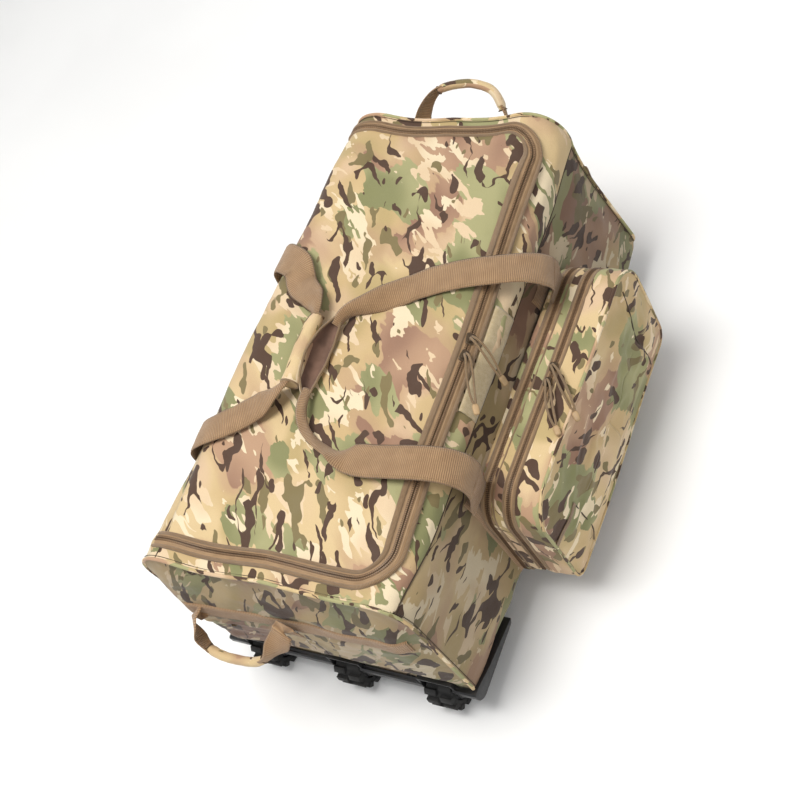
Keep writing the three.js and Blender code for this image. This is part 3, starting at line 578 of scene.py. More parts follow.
for cloth_name, row in PLAIN_FABRICS.items():
    plain_fabric(cloth_name, *row)
loop_pile("pile")
ribbed("cord", srgb(158, 130, 94), srgb(118, 92, 62), pitch=0.0019)
plastic("cord_tip", srgb(150, 124, 90), rough=0.5, grain=0.3, worn=False)
metal("slider", (0.11, 0.075, 0.045, 1), rough=0.42, brush=(1, 1, 1), metallic=0.55)
plastic("black")
plastic("black_gloss", (0.010, 0.010, 0.011, 1), rough=0.30, grain=0.12)
rubber("rubber")
metal("steel", (0.55, 0.55, 0.57, 1), rough=0.28, brush=(30, 1, 30))
metal("aluminium", (0.72, 0.73, 0.75, 1), rough=0.3, brush=(1, 30, 30))
plastic("board", (0.02, 0.02, 0.02, 1), rough=0.6, grain=0.6)

# slot of each material; any other material goes in camo_fabric
SLOTS = {
    "lining": "lining",
    "base_fabric": "base_fabric",
    "webbing": "webbing",
    "webbing_narrow": "webbing",
    "binding": "zipper_tape",
    "tape": "zipper_tape",
    "coil": "zipper_tape",
    "pile": "loop_pile",
    "cord": "pull_cord",
    "cord_tip": "pull_cord",
    "slider": "slider_metal",
    "black": "black_plastic",
    "black_gloss": "black_plastic",
    "rubber": "rubber",
    "steel": "steel",
    "aluminium": "aluminium",
    "board": "board",
}

# ------------------------------------------------------------------ mesh builders
BAG_CENTRE = (0.0, 0.0, 140.0)


def link(mesh, name):
    ob = bpy.data.objects.new(name, mesh)
    bpy.context.scene.collection.objects.link(ob)
    return ob


def attach(ob, body=None, replaces=None):
    if body:
        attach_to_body(ob, body)
    if replaces:
        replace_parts(ob, replaces)
    return ob


def finish_piece(ob, mats, body=None, replaces=None):
    """Gives a piece its materials and attaches it; the slot of the first one is looked up but not
    kept.
    """
    for key in mats:
        ob.data.materials.append(MATERIALS[key])
    SLOTS.get(mats[0], "camo_fabric")
    return attach(ob, body, replaces)


def mesh_with_uv(name, vertices, faces, uvs):
    """vertices and uvs in metres, with one uv for each face corner."""
    mesh = bpy.data.meshes.new(name)
    mesh.from_pydata(vertices, [], faces)
    layer = mesh.uv_layers.new(name="UVMap")
    layer.data.foreach_set("uv", np.array(uvs, np.float32).ravel())
    return mesh


def face_outwards(mesh, new_faces=()):
    """Adds faces over the given vertex numbers and turns all faces outwards."""
    bm = bmesh.new()
    bm.from_mesh(mesh)
    bm.verts.ensure_lookup_table()
    for numbers in new_faces:
        bm.faces.new([bm.verts[k] for k in numbers])
    bmesh.ops.recalc_face_normals(bm, faces=bm.faces)
    bm.to_mesh(mesh)
    bm.free()


def faces_inwards(points, centre):
    normal = np.cross(points[1:, :-1] - points[:-1, :-1], points[:-1, 1:] - points[:-1, :-1])
    away = (points[1:, 1:] + points[:-1, :-1]) / 2 - np.asarray(centre, float)
    away = away / (np.linalg.norm(away, axis=-1, keepdims=True) + 1e-9)
    return float((normal * away).sum()) < 0


def grid(name, points, uv, mats, body=None, closed=False, solid=0.0, lined=False,
         replaces=None, centre=BAG_CENTRE, flip=False):
    """A mesh over a grid of points, with its uv, both in mm.

    closed joins the last column to the first. An open grid is turned to face away from centre,
    unless that is None. solid thickens it inwards, and lined puts lining on the inside.
    """
    rows, columns = points.shape[:2]
    if centre is not None and not closed:
        flip = faces_inwards(points, centre)
    uv = uv * MM
    faces, uvs = [], []
    for i in range(rows - 1):
        for j in range(columns if closed else columns - 1):
            i2, j2 = i + 1, (j + 1) % columns
            face = [i * columns + j, i2 * columns + j, i2 * columns + j2, i * columns + j2]
            corners = [uv[i, j], uv[i2, j], uv[i2, j2], uv[i, j2]]
            if j2 == 0:  # the closing column goes on past the last uv
                step = uv[:, -1] - uv[:, -2]
                corners[2] = corners[1] + step[i2]
                corners[3] = corners[0] + step[i]
            if flip:
                face, corners = face[::-1], corners[::-1]
            faces.append(face)
            uvs.extend(corners)
    mesh = mesh_with_uv(name, (points * MM).reshape(-1, 3).tolist(), faces, uvs)
    mesh.polygons.foreach_set("use_smooth", [True] * len(mesh.polygons))
    mesh.update()
    ob = link(mesh, name)
    mats = [mats] if isinstance(mats, str) else list(mats)
    if lined:
        mats.append("lining")
    if solid:
        modifier = ob.modifiers.new("solid", "SOLIDIFY")
        modifier.thickness = solid * MM
        modifier.offset = -1
        modifier.use_even_offset = False
        if lined:
            modifier.material_offset = len(mats) - 1
            modifier.material_offset_rim = 0
    return finish_piece(ob, mats, body, replaces)


def bake_modifiers(ob):
    depsgraph = bpy.context.evaluated_depsgraph_get()
    mesh = bpy.data.meshes.new_from_object(
        ob.evaluated_get(depsgraph), preserve_all_data_layers=True, depsgraph=depsgraph
    )
    ob.modifiers.clear()
    ob.data = mesh


def lengths(points):
    """Length along a path at each of its points."""
    steps = np.linalg.norm(np.diff(points, axis=0), axis=1)
    return np.concatenate([[0], np.cumsum(steps)])


def resample(points, count=None, step=None):
    points = np.asarray(points, float)
    run = lengths(points)
    if count is None:
        count = max(2, int(round(run[-1] / step)) + 1)
    spots = np.linspace(0, run[-1], count)
    return np.stack([np.interp(spots, run, column) for column in points.T], 1)


def spline(points, count):
    """Centripetal Catmull-Rom through the points, evenly resampled."""
    points = np.asarray(points, float)
    points = np.vstack([2 * points[0] - points[1], points, 2 * points[-1] - points[-2]])

    def between(first, second, start, end, t):
        return (end - t) / (end - start) * first + (t - start) / (end - start) * second

    out = []
    for i in range(1, len(points) - 2):
        four = points[i - 1 : i + 3]
        knots = [0.0]
        for first, second in zip(four, four[1:]):
            knots.append(knots[-1] + max(np.linalg.norm(second - first), 1e-6) ** 0.5)
        for t in np.linspace(knots[1], knots[2], 24, endpoint=False):
            level = list(four)
            for reach in (1, 2):
                level = [
                    between(level[k], level[k + 1], knots[k], knots[k + reach], t)
                    for k in range(len(level) - 1)
                ]
            out.append(between(level[0], level[1], knots[1], knots[2], t))
    out.append(points[-2])
    return resample(np.array(out), count)


def tangents(points):
    along = np.gradient(points, axis=0)
    return along / (np.linalg.norm(along, axis=1)[:, None] + 1e-9)


def path_frames(path, up):
    """Side and normal vectors of a path, from one up hint or one for each point."""
    along = tangents(path)
    side = np.cross(along, np.broadcast_to(np.asarray(up, float), path.shape))
    side /= np.linalg.norm(side, axis=1)[:, None] + 1e-9
    return side, np.cross(side, along)


def place(path, side, normal, profile):
    """Sets (side, normal) profiles along a path."""
    offset = side[:, None, :] * profile[..., 0:1]
    return path[:, None, :] + offset + normal[:, None, :] * profile[..., 1:2]


def sweep(name, path, side, normal, profile, mat, body=None, replaces=None, across=None):
    """Sweeps a closed (side, normal) profile, or one for each point, and caps the ends.

    across holds the uv across the profile, where it isn't the length round it.
    """
    profile = np.asarray(profile, float)
    if profile.ndim == 2:
        profile = np.repeat(profile[None], len(path), 0)
    if across is None:
        across = lengths(profile[0])
    uv = stack(lengths(path)[:, None], across[None, :])
    ob = grid(name, place(path, side, normal, profile), uv, mat, closed=True)
    rows, columns = profile.shape[:2]
    ends = [range(columns), range((rows - 1) * columns, rows * columns)]
    face_outwards(ob.data, ends)
    return attach(ob, body, replaces)


def full_turn(count):
    return np.linspace(0, 2 * math.pi, count, endpoint=False)


def circle(radius, count=10):
    angles = full_turn(count)
    return stack(np.cos(angles) * radius, np.sin(angles) * radius)


def tube(name, path, radius, mat, body=None, count=8, up=(0, 0, 1)):
    path = np.asarray(path, float)
    # the small tilt keeps the up hint off the tangents
    side, normal = path_frames(path, np.asarray(up, float) + np.array([0.013, 0.007, 0.0]))
    return sweep(name, path, side, normal, circle(radius, count), mat, body)


def strap_profile(width, thick, count=13):
    """A flat woven strap with rounded edges."""
    x = np.linspace(-width / 2, width / 2, count)
    top = thick / 2 * np.sqrt(np.clip(1 - (np.abs(x) / (width / 2)) ** 14, 0, 1))
    return np.concatenate([stack(x, top), stack(x, -top)[::-1][1:-1]])


def join(name, obs, body):
    for ob in bpy.context.selected_objects:
        ob.select_set(False)
    for ob in obs:
        ob.select_set(True)
    bpy.context.view_layer.objects.active = obs[0]
    bpy.ops.object.join()
    ob = bpy.context.view_layer.objects.active
    ob.name = name
    ob.data.name = name
    return attach(ob, body)


def read_grid(points, axes, place_at, spread, floor=0.0):
    """Reads axes[2] of a surface grid where axes[0] and axes[1] have the given values."""
    first, second, wanted = (points[..., axis] for axis in axes)
    distance = (first - place_at[0]) ** 2 + (second - place_at[1]) ** 2
    weight = np.exp(-distance / spread) + floor
    return float((wanted * weight).sum() / weight.sum())


# ------------------------------------------------------------------ zipper line on the top
ZIP_WHEEL, ZIP_HANDLE = -346.0, 354.0  # x of the cross runs
ZIP_CORNER = 46.0
ZIP_START_Y, ZIP_END_Y = 186.0, 160.0  # far ends of the wheel-end and handle-end runs
HINGE_Y = 150.0
TOOTH_BASE = 3.8


def near_y(x):
    """The near run of the main zipper, bowed a little outwards."""
    share = np.clip((np.asarray(x, float) + 300) / 610, -0.2, 1.2)
    return -172 + 22 * share - 3.5 * hump(np.asarray(x, float), 0, 170.0)


def s_of_y(x, y):
    flat = flat_half(x)
    away = np.abs(y)
    arc = flat + SHOULDER * np.arcsin(np.clip((away - flat) / SHOULDER, 0, 1))
    return np.sign(y) * np.where(away < flat, away, arc)


def zip_path():
    """(x, s) from the wheel end's far side round the near side to the handle end's far side."""
    x_wheel, x_handle = ZIP_WHEEL + ZIP_CORNER, ZIP_HANDLE - ZIP_CORNER
    y_wheel, y_handle = near_y(x_wheel) + ZIP_CORNER, near_y(x_handle) + ZIP_CORNER

    def corner(x, y, start):
        angles = np.linspace(start, start + QUARTER, 26, endpoint=False)
        return stack(x + ZIP_CORNER * np.cos(angles), y + ZIP_CORNER * np.sin(angles))

    near_x = np.linspace(x_wheel, x_handle, 140, endpoint=False)
    x, y = np.vstack([
        stack(ZIP_WHEEL, np.linspace(ZIP_START_Y, y_wheel, 70, endpoint=False)),
        corner(x_wheel, y_wheel, math.pi),
        stack(near_x, near_y(near_x)),
        corner(x_handle, y_handle, 1.5 * math.pi),
        stack(ZIP_HANDLE, np.linspace(y_handle, ZIP_END_Y, 70)),
    ]).T
    return stack(x, s_of_y(x, y))


def path_normals(path):
    """To the right of travel, which is outwards from the lid on the zipper path."""
    along = np.gradient(path, axis=0)
    along /= np.linalg.norm(along, axis=1)[:, None]
    return stack(along[:, 1], -along[:, 0])


ZIP = resample(zip_path(), step=5.0 / DENSITY)


def ribbon(name, path, offsets, heights, mats, body=None, surface=shell, share=None):
    """A band of cross-section (offset, height) laid on the body along a path in (x, s).

    share, one number for each point of the path, scales the offsets beyond the teeth.
    """
    teeth_edge = 3.8
    outward = path_normals(path)
    rows = []
    for offset, height in zip(offsets, heights):
        if share is not None and abs(offset) > teeth_edge:
            reach = teeth_edge + (abs(offset) - teeth_edge) * share
            offset = (np.sign(offset) * reach)[:, None]
        spots = path + outward * offset
        rows.append(surface(spots[:, 0], spots[:, 1], height))
    across = lengths(stack(offsets, heights))
    uv = stack(lengths(path)[:, None], across[None, :])
    return grid(name, np.stack(rows, 1), uv, mats, body)


def zipper_half(name, path, side, body, width, bind, share, replaces=None):
    """Teeth bed, tape, stitched step and bound edge. side is +1 outwards, -1 inwards."""
    profile = [
        # offset from the closing line, height
        (0.25, -1.2), (0.25, 1.0), (0.8, 2.2), (2.2, 2.5), (3.2, 1.7), (3.8, 1.1),
        (5.5, 1.0), (6.6, 1.7), (7.6, 1.1), (width - 1.5, 1.0), (width - 0.8, 0.7),
        (width - 0.2, 1.2), (width + 0.3, 2.4), (width + bind * 0.3, 3.0),
        (width + bind * 0.7, 2.7), (width + bind - 0.8, 1.6), (width + bind, -0.8),
    ]
    bound_from = 10
    offsets, heights = np.array(profile).T
    ob = ribbon(name, path, offsets * side, heights + 1.6, ["tape", "binding"], share=share)
    for k, poly in enumerate(ob.data.polygons):
        if k % (len(profile) - 1) >= bound_from:
            poly.material_index = 1
    attach(ob, body, replaces)


TOOTH_FACES = [(4, 5, 6, 7), (0, 1, 5, 4), (1, 2, 6, 5), (2, 3, 7, 6), (3, 0, 4, 7)]


def teeth_mesh(name, centres, axes, corners, body, uv_step=0.0):
    """A row of small bars. The columns of corners, in mm, run along the three axes."""
    points = centres[:, None]
    for k, axis in enumerate(axes):
        points = points + axis[..., None, :] * corners[:, k, None]
    faces, uvs = [], []
    for k in range(len(centres)):
        u = k * uv_step
        for face in TOOTH_FACES:
            faces.append([8 * k + i for i in face])
            uvs.extend([(u, 0), (u, 0.001), (u + 0.001, 0.001), (u + 0.001, 0)])
    mesh = mesh_with_uv(name, (points * MM).reshape(-1, 3).tolist(), faces, uvs)
    face_outwards(mesh)
    finish_piece(link(mesh, name), ["coil"], body)


# columns: towards the closing line, along it, up
MAIN_TOOTH = np.array([
    (-1, -1, -0.8), (1, -1, -0.8), (1, 1, -0.8), (-1, 1, -0.8),
    (-0.75, -0.7, 1), (0.75, -0.7, 1), (0.75, 0.7, 1), (-0.75, 0.7, 1),
]) * (1.75, 0.85, 0.55)


def main_teeth(name, path, side, body):
    path = resample(path, step=2.6)
    outward = path_normals(path) * side
    centres, tips = (
        shell(path[:, 0] + outward[:, 0] * away, path[:, 1] + outward[:, 1] * away, TOOTH_BASE)
        for away in (1.9, 0.15)
    )
    along = tangents(centres)
    inward = tips - centres
    inward /= np.linalg.norm(inward, axis=1)[:, None]
    up = np.cross(along, inward)
    up *= np.sign((up * normals(path[:, 0], path[:, 1])).sum(1))[:, None]
    teeth_mesh(name, centres, (inward, along, up), MAIN_TOOTH, body, uv_step=0.0026)


# ------------------------------------------------------------------ lid
LID_FAR_Y = 176.0


def lid_point(x, y):
    """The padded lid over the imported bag: full in the middle, tucked in at the sewn edge."""
    edge = np.minimum(np.minimum(y - near_y(x), x - ZIP_WHEEL), ZIP_HANDLE - x)
    full = 6.0 * (1 - np.exp(-np.clip(edge, 0, None) / 38.0))
    swirl = 0.3 * perlin(x / 90.0, y / 70.0, 5.0)
    ridge = ridged(x / 130.0 + swirl, y / 55.0, 3.3)
    inside = smoothstep(8, 60, edge)
    wrinkles = 2.6 * (np.clip(ridge, 0.3, 1) - 0.3) * inside
    wrinkles += 2.0 * perlin(x / 85.0, y / 60.0, 9.1) * inside
    wrinkles += 0.9 * perlin(x / 30.0, y / 60.0, 2.2) * inside
    pucker = 1.15 * perlin(x / 15.0, y / 15.0, 8.0) * hump(edge, 12, 12.0)
    fade = smoothstep(196, 150, y)
    return shell(x, s_of_y(x, y), (full + wrinkles + pucker) * fade + 0.4)


def build_lid():
    gap = 3  # from the closing line to the cloth's near edge
    x_start, x_end = ZIP_WHEEL + 4, ZIP_HANDLE - 4
    corner = ZIP_CORNER - gap
    share_x = np.linspace(0, 1, int(210 * DENSITY))
    rows, uv_rows = [], []
    for share in np.linspace(0, 1, int(96 * DENSITY)) ** 1.25:
        depth = share * (LID_FAR_Y - near_y(0)) + gap
        cut = 0.0  # how much a row loses at each end to the rounded corners
        if depth < corner:
            cut = corner - math.sqrt(max(corner * corner - (corner - depth) ** 2, 0))
        x = (x_start + cut) + (x_end - x_start - 2 * cut) * share_x
        y = near_y(x) + gap + (LID_FAR_Y - near_y(x) - gap) * share
        rows.append(lid_point(x, y))
        uv_rows.append(stack(x, s_of_y(x, y)))
    ob = grid("lid_fabric", np.array(rows), np.array(uv_rows), "camo_lid", solid=2.6, lined=True)
    bake_modifiers(ob)
    return attach(ob, replaces="lid_panel")


lid = build_lid()

# ------------------------------------------------------------------ main zipper


def zip_share(wheel, near, handle):
    """Width of tape and binding along the path, as a share of full width, smoothed."""
    stations = [ZIP_WHEEL, ZIP_WHEEL + ZIP_CORNER, ZIP_HANDLE - ZIP_CORNER - 20, ZIP_HANDLE - 2]
    share = np.interp(ZIP[:, 0], stations, [wheel, near, near, handle])
    return np.convolve(np.pad(share, 4, mode="edge"), np.ones(9) / 9, "valid")


zipper_half("main_zipper_border", ZIP, 1, "body", width=10.5, bind=5.5,
            share=zip_share(0.85, 1.0, 0.5), replaces="main_zipper_border_half")
main_teeth("main_zipper_teeth_border", ZIP, 1, "body")
# the lid's half stops near the hinge, and its fixed ends ride on the body
moving = np.where(plain_surface(ZIP[:, 0], ZIP[:, 1])[:, 1] < HINGE_Y - 3)[0]
first, last = moving[0], moving[-1]
lid_share = zip_share(0.62, 1.0, 0.30)
LID_HALF = {"width": 7.5, "bind": 8.5}
zipper_half("main_zipper_lid", ZIP[first : last + 1], -1, "lid", **LID_HALF,
            share=lid_share[first : last + 1], replaces="main_zipper_lid_half")
main_teeth("main_zipper_teeth_lid", ZIP[first : last + 1], -1, "lid")
for k, part in enumerate((slice(None, first + 1), slice(last, None))):
    if len(ZIP[part]) > 3:  # a coarse path may leave too few points
        zipper_half(f"main_zipper_fixed_end_{k}", ZIP[part], -1, "body", **LID_HALF,
                    share=lid_share[part])
        main_teeth(f"main_zipper_fixed_teeth_{k}", ZIP[part], -1, "body")

# cloth under the fixed ends of the zipper, so that nothing shows through beside the hinge
for k, (x_from, x_to) in enumerate(
    ((ZIP_WHEEL - 7, ZIP_WHEEL + 22), (ZIP_HANDLE - 22, ZIP_HANDLE + 7))
):
    x, y = np.meshgrid(np.linspace(x_from, x_to, 12), np.linspace(124, 186, 24), indexing="ij")
    s = s_of_y(x, y)
    grid(f"hinge_corner_{k}", shell(x, s, -3.2), stack(x, s), "camo_lid", "body",
         solid=1.6, lined=True)

# ------------------------------------------------------------------ band outside the zipper


def seam_s(x):
    """Seam between the band and the near side panel, as a distance from the top's middle."""
    x = np.asarray(x, float)
    rise = 14 * smoothstep(250, 375, np.abs(x))
    drop = np.interp(x, [-380, -150, 0, 330, 380], [0, 17, 27, 43, 45])
    return flat_half(x) + 1.117 * SHOULDER - rise + drop


def square_corner(share, end_x, end_s, run_x):
    """From (end_x, end_s) down the end seam to the near seam, then along that to run_x."""
    if share < 0.5:
        return end_x, end_s + (-seam_s(end_x) - end_s) * share * 2
    x = end_x + (run_x - end_x) * (share - 0.5) * 2
    return x, -seam_s(x)


def band_outline():
    """The band's outer edge, one point for each point of the zipper path."""

    def first_past(x):
        return int(np.argmax(ZIP[:, 0] > x))

    wheel_start = first_past(ZIP_WHEEL + 0.5)
    wheel_end = first_past(ZIP_WHEEL + ZIP_CORNER - 1)
    handle_start = first_past(ZIP_HANDLE - ZIP_CORNER + 1)
    handle_end = first_past(ZIP_HANDLE - 0.5)
    out = []
    for k, (x, s) in enumerate(ZIP):
        if k <= wheel_start:
            point = (-SEAM_X, s)
        elif k <= wheel_end:
            share = (k - wheel_start) / (wheel_end - wheel_start)
            point = square_corner(share, -SEAM_X, ZIP[wheel_start, 1], ZIP[wheel_end, 0])
        elif k <= handle_start:
            point = (x, -seam_s(x))
        elif k <= handle_end:
            share = 1 - (k - handle_start) / (handle_end - handle_start)
            point = square_corner(share, SEAM_X, ZIP[handle_end, 1], ZIP[handle_start, 0])
        else:
            point = (SEAM_X, s)
        out.append(point)
    return np.array(out)


def build_band():
    inner = ZIP + path_normals(ZIP) * 3.0
    outer = band_outline()
    share = np.linspace(0, 1, int(26 * DENSITY) + 4)
    spots = inner[:, None] * (1 - share[None, :, None]) + outer[:, None] * share[None, :, None]
    x, s = spots[..., 0], spots[..., 1]
    width = np.linalg.norm(outer - inner, axis=1)[:, None]
    inside = np.sin(np.pi * share) ** 0.7 * smoothstep(14, 34, share * width)
    bulge = np.clip(width, 0, 60) * 0.085 * inside
    folds = 1.5 * perlin(x / 60.0, s / 26.0, 4.4) * inside
    folds += 1.0 * perlin(x / 22.0, s / 30.0, 14.4) * inside
    pucker = 0.8 * perlin(x / 12.0, s / 12.0, 6.0) * (inside**0.5)
    grid("border_band_fabric", shell(x, s, bulge + folds + pucker + 0.2), spots, "camo_band",
         "body", solid=2.4, lined=True, replaces="top_border_band")


build_band()

# ------------------------------------------------------------------ side panels


def side_top(x, sign):
    if sign < 0:
        return seam_s(x)
    return s_of_y(x, np.minimum(LID_FAR_Y - 4, half_top(x) - 12))


def side_bottom(x):
    """Just short of the underside, round the foot."""
    return shoulder_end(x) + wall_length(x) + FOOT * math.pi / 2 * 0.96


def side_swell(x, around, sign):
    """How far the side's cloth stands out at (x, distance round the section)."""
    x, around = np.broadcast_arrays(np.asarray(x, float), np.asarray(around, float))
    z = plain_surface(x, sign * around)[..., 2]
    edge = np.minimum(around - side_top(x, sign), np.minimum(SEAM_X - x, SEAM_X + x))
    inside = smoothstep(0, 45, edge) * smoothstep(0, 40, side_bottom(x) - around)
    swell = 5.0 * inside
    swell = swell + 2.6 * perlin(x / 95.0, around / 60.0, 11.0 + sign) * inside
    ridge = ridged(x / 60.0 + around / 90.0, around / 110.0, 2.0 * sign)
    swell = swell + 1.6 * np.clip(ridge, 0, 1) * inside
    swell = swell + 0.9 * perlin(x / 24.0, around / 30.0, 21.0) * inside
    swell = swell + 0.7 * perlin(x / 13.0, around / 13.0, 8.0) * hump(edge, 8, 9.0)
    # flat low down at the wheel end, and behind the pocket
    beside_frame = 1 - (1 - smoothstep(-300, -240, x)) * smoothstep(48, 18, z)
    beside_pocket = 1.0
    if sign < 0:
        outside = np.maximum(np.maximum(-205 - x, x - 230), z - 205)
        beside_pocket = smoothstep(0, 25, 40 + outside)
    return swell * beside_frame * beside_pocket


def side_panel(name, sign, mat, replaces):
    x = np.linspace(-SEAM_X, SEAM_X, int(230 * DENSITY))[:, None]
    share = np.linspace(0, 1, int(74 * DENSITY))[None]
    around = side_top(x, sign) + (side_bottom(x) - side_top(x, sign)) * share
    points = shell(x + 0 * around, sign * around, side_swell(x, around, sign))
    grid(name, points, stack(x, around * sign), mat, "body", solid=2.4, lined=True,
         replaces=replaces)


side_panel("near_side_fabric", -1, "camo_side", "near_side_panel")
side_panel("far_side_fabric", 1, "camo_far", "far_side_panel")

# dark lines of stitching along the top of each side panel
x = np.linspace(-SEAM_X, SEAM_X, 160)
for name, s, raised in (
    ("near_seam", -seam_s(x), 0.3),
    ("far_seam", s_of_y(x, 0 * x + LID_FAR_Y - 2), 0.4),
):
    tube(name, resample(shell(x, s, raised), step=4.0), 1.1, "seam", "body")

# ------------------------------------------------------------------ end panels and their piping
WHEEL_Y = (-152, 0, 152)
WELL_HALF = 28.0
# openings as (x from, x to, y from, y to, z from, z to)
WELLS = [(-420, -319.0, y - WELL_HALF, y + WELL_HALF, -30, 34.2) for y in WHEEL_Y]
CUP_OPENING = [(330, 420, -119, 119, -20, 51)]
END_GRIDS = {}


def section_curve(x):
    """260 points round the body's section at x, from foot to foot over the top."""
    s_max = float(shoulder_end(x) + wall_length(x) + FOOT * math.pi / 2)
    return shell(x, np.linspace(-s_max, s_max, 260), 0)


def end_swell(sign, y, z, edge):
    """How far the padded end stands out, edge being the distance to the seam."""
    inside = smoothstep(0, 62, edge)
    fullness = 15.0 if sign < 0 else 8.0
    bulge = fullness * inside * (0.55 + 0.45 * hump(z, 160, 70.0))
    bulge = bulge + 3.0 * perlin(y / 75.0, z / 60.0, 31.0 + sign) * inside
    bulge = bulge + 2.4 * np.clip(ridged(y / 90.0 + z / 60.0, z / 34.0, 3.0), 0, 1) * inside
    bulge = bulge + 0.8 * perlin(y / 22.0, z / 18.0, 12.0) * inside
    return bulge + 0.8 * perlin(y / 12.0, z / 12.0, 2.0) * hump(edge, 14, 10.0)


def cut_holes(ob, boxes):
    """Cuts clean rectangular openings."""
    bm = bmesh.new()
    bm.from_mesh(ob.data)

    def faces_in(low, high, margin):
        out = []
        for face in bm.faces:
            middle = face.calc_center_median()
            if all(low[i] - margin < middle[i] < high[i] + margin for i in range(3)):
                out.append(face)
        return out

    for box in boxes:
        low, high = Vector(box[0::2]) * MM, Vector(box[1::2]) * MM
        for axis in range(3):
            for value in (low[axis], high[axis]):
                near = faces_in(low, high, 0.02)
                if not near:
                    continue
                edges = {edge for face in near for edge in face.edges}
                verts = {vert for face in near for vert in face.verts}
                position, direction = [0, 0, 0], [0, 0, 0]
                position[axis], direction[axis] = value, 1
                bmesh.ops.bisect_plane(
                    bm, geom=near + list(edges) + list(verts), plane_co=position,
                    plane_no=direction, dist=1e-6,
                )
        bmesh.ops.delete(bm, geom=faces_in(low, high, 1e-6), context="FACES")
    bm.to_mesh(ob.data)
    bm.free()


def end_panel(end, sign, z_cut, holes):
    curve = section_curve(sign * SEAM_X)
    curve = curve[curve[:, 2] >= z_cut]
    # the loop runs round the end and back along the bottom, from its middle
    share = np.linspace(0, 1, int(46 * DENSITY))[:, None]
    bottom = np.array([[sign * SEAM_X, 0.0, z_cut]])
    loop = np.concatenate([
        bottom * (1 - share) + curve[:1] * share,
        curve[1:-1],
        curve[-1:] * (1 - share) + bottom * share,
    ])
    # filled from a level centre line out to the loop
    out = (np.linspace(0, 1, int(58 * DENSITY)) ** 0.9)[:, None]
    middle_z = z_cut + (loop[:, 2].max() - z_cut) * 0.47
    centre_line = stack(sign * 380.0, loop[:, 1] * 0.55, middle_z)
    points = centre_line[None] * (1 - out[..., None]) + loop[None] * out[..., None]
    y, z = points[..., 1], points[..., 2]
    edge = np.minimum((1 - out) * 120 + 0 * y, np.maximum(z - z_cut - 16, 0) * 1.2)
    if sign > 0:  # flat round the handle cup
        edge = np.minimum(edge, np.maximum(z - 62, 0) + np.maximum(np.abs(y) - 132, 0))
    points[..., 0] = sign * (SEAM_X + 1.0) + sign * end_swell(sign, y, z, edge)
    if sign > 0:
        points[..., 0] += 6.0 * smoothstep(150, 255, z)
    else:
        points[..., 0] -= 7.0 * smoothstep(60, 185, y) * smoothstep(0, 30, edge)
    END_GRIDS[sign] = points
    ob = grid(f"{end}_fabric", points, stack(y, z), f"camo_{end}", "body", solid=2.4,
              lined=True, replaces=f"{end}_panel")
    cut_holes(ob, holes)


end_panel("wheel_end", -1, 2.0, WELLS)
end_panel("handle_end", 1, 5.0, CUP_OPENING)


def end_piping(end, sign, z_cut):
    """Piping round the end seam, with a line of stitching beside it."""
    curve = section_curve(sign * (SEAM_X + 1.0))
    curve = resample(curve[curve[:, 2] >= z_cut], step=3.5)
    up = curve - curve.mean(0)
    up[:, 0] = 0
    side, normal = path_frames(curve, up)
    sweep(f"{end}_piping", curve, side, normal, circle(2.7), "camo_piping", "body")
    stitch = np.array([(-1.0, 1.2), (0.0, 2.6), (1.0, 1.2), (0.0, 0.6)]) * 0.55
    beside = curve - np.array([sign * 5.0, 0, 0])
    sweep(f"{end}_piping_stitch", beside, side, normal, stitch, "seam", "body")


end_piping("wheel_end", -1, 20.0)
end_piping("handle_end", 1, 4.0)

# ------------------------------------------------------------------ base


def build_base():
    x, y = np.meshgrid(
        np.linspace(-378.4, SEAM_X + 1.6, int(96 * DENSITY)),
        np.linspace(-190, 190, int(46 * DENSITY)),
        indexing="ij",
    )
    uneven = 2.0 * perlin(x / 120.0, y / 90.0, 3.0) * smoothstep(0, 40, 190 - np.abs(y)) * 0.6
    z = np.maximum(lift_of(x) * 0.8 - 0.2 - uneven, 0.2)
    ob = grid("base_fabric", stack(x, y, z), stack(x, y), "base_fabric", "body", solid=-2.0,
              lined=True, replaces="base_panel")
    cut_holes(ob, WELLS)


build_base()
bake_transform(lid)

# ------------------------------------------------------------------ sewn webbing on the body


def wall_s(x, z):
    """Distance round the section to height z on the side wall, away from the lifted ends."""
    share = ((top_z(x) - SHOULDER) - z) / ((top_z(x) - SHOULDER) - FOOT)
    return float(shoulder_end(x) + wall_length(x) * share)


def side_webbing(name, x, sign, z_top, width=50, raised=0.6, thick=1.6):
    """Webbing from z_top down the side wall and under the base to its middle."""
    under = wall_s(x, FOOT) + FOOT * math.pi / 2 + BASE_HALF - FOOT + 1
    around = np.linspace(wall_s(x, z_top), under, 60)
    path = resample(stack(float(x), around * sign), step=6.0 / DENSITY)
    flat = np.linspace(-width / 2, width / 2, 9)
    crown = np.sqrt(np.clip(1 - np.abs(flat / (width / 2)) ** 10, 0, 1))
    offsets = np.concatenate([[-width / 2], flat, [width / 2]])
    heights = np.concatenate([[-1.5], raised + thick * crown, [-1.5]])

    def over_side(x, s, height):
        return shell(x, s, height + side_swell(x, np.abs(s), sign))

    return ribbon(name, path, offsets, heights, "webbing", surface=over_side)


for end, near_x, far_x in (("handle_end", 150.0, 112.0), ("wheel_end", -172.0, -186.0)):
    name = f"body_webbing_{end}"
    parts = [
        side_webbing(f"{name}_near", near_x, -1, z_top=208.0),
        side_webbing(f"{name}_far", far_x, 1, z_top=204.0),
    ]
    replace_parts(join(name, parts, "body"), name)


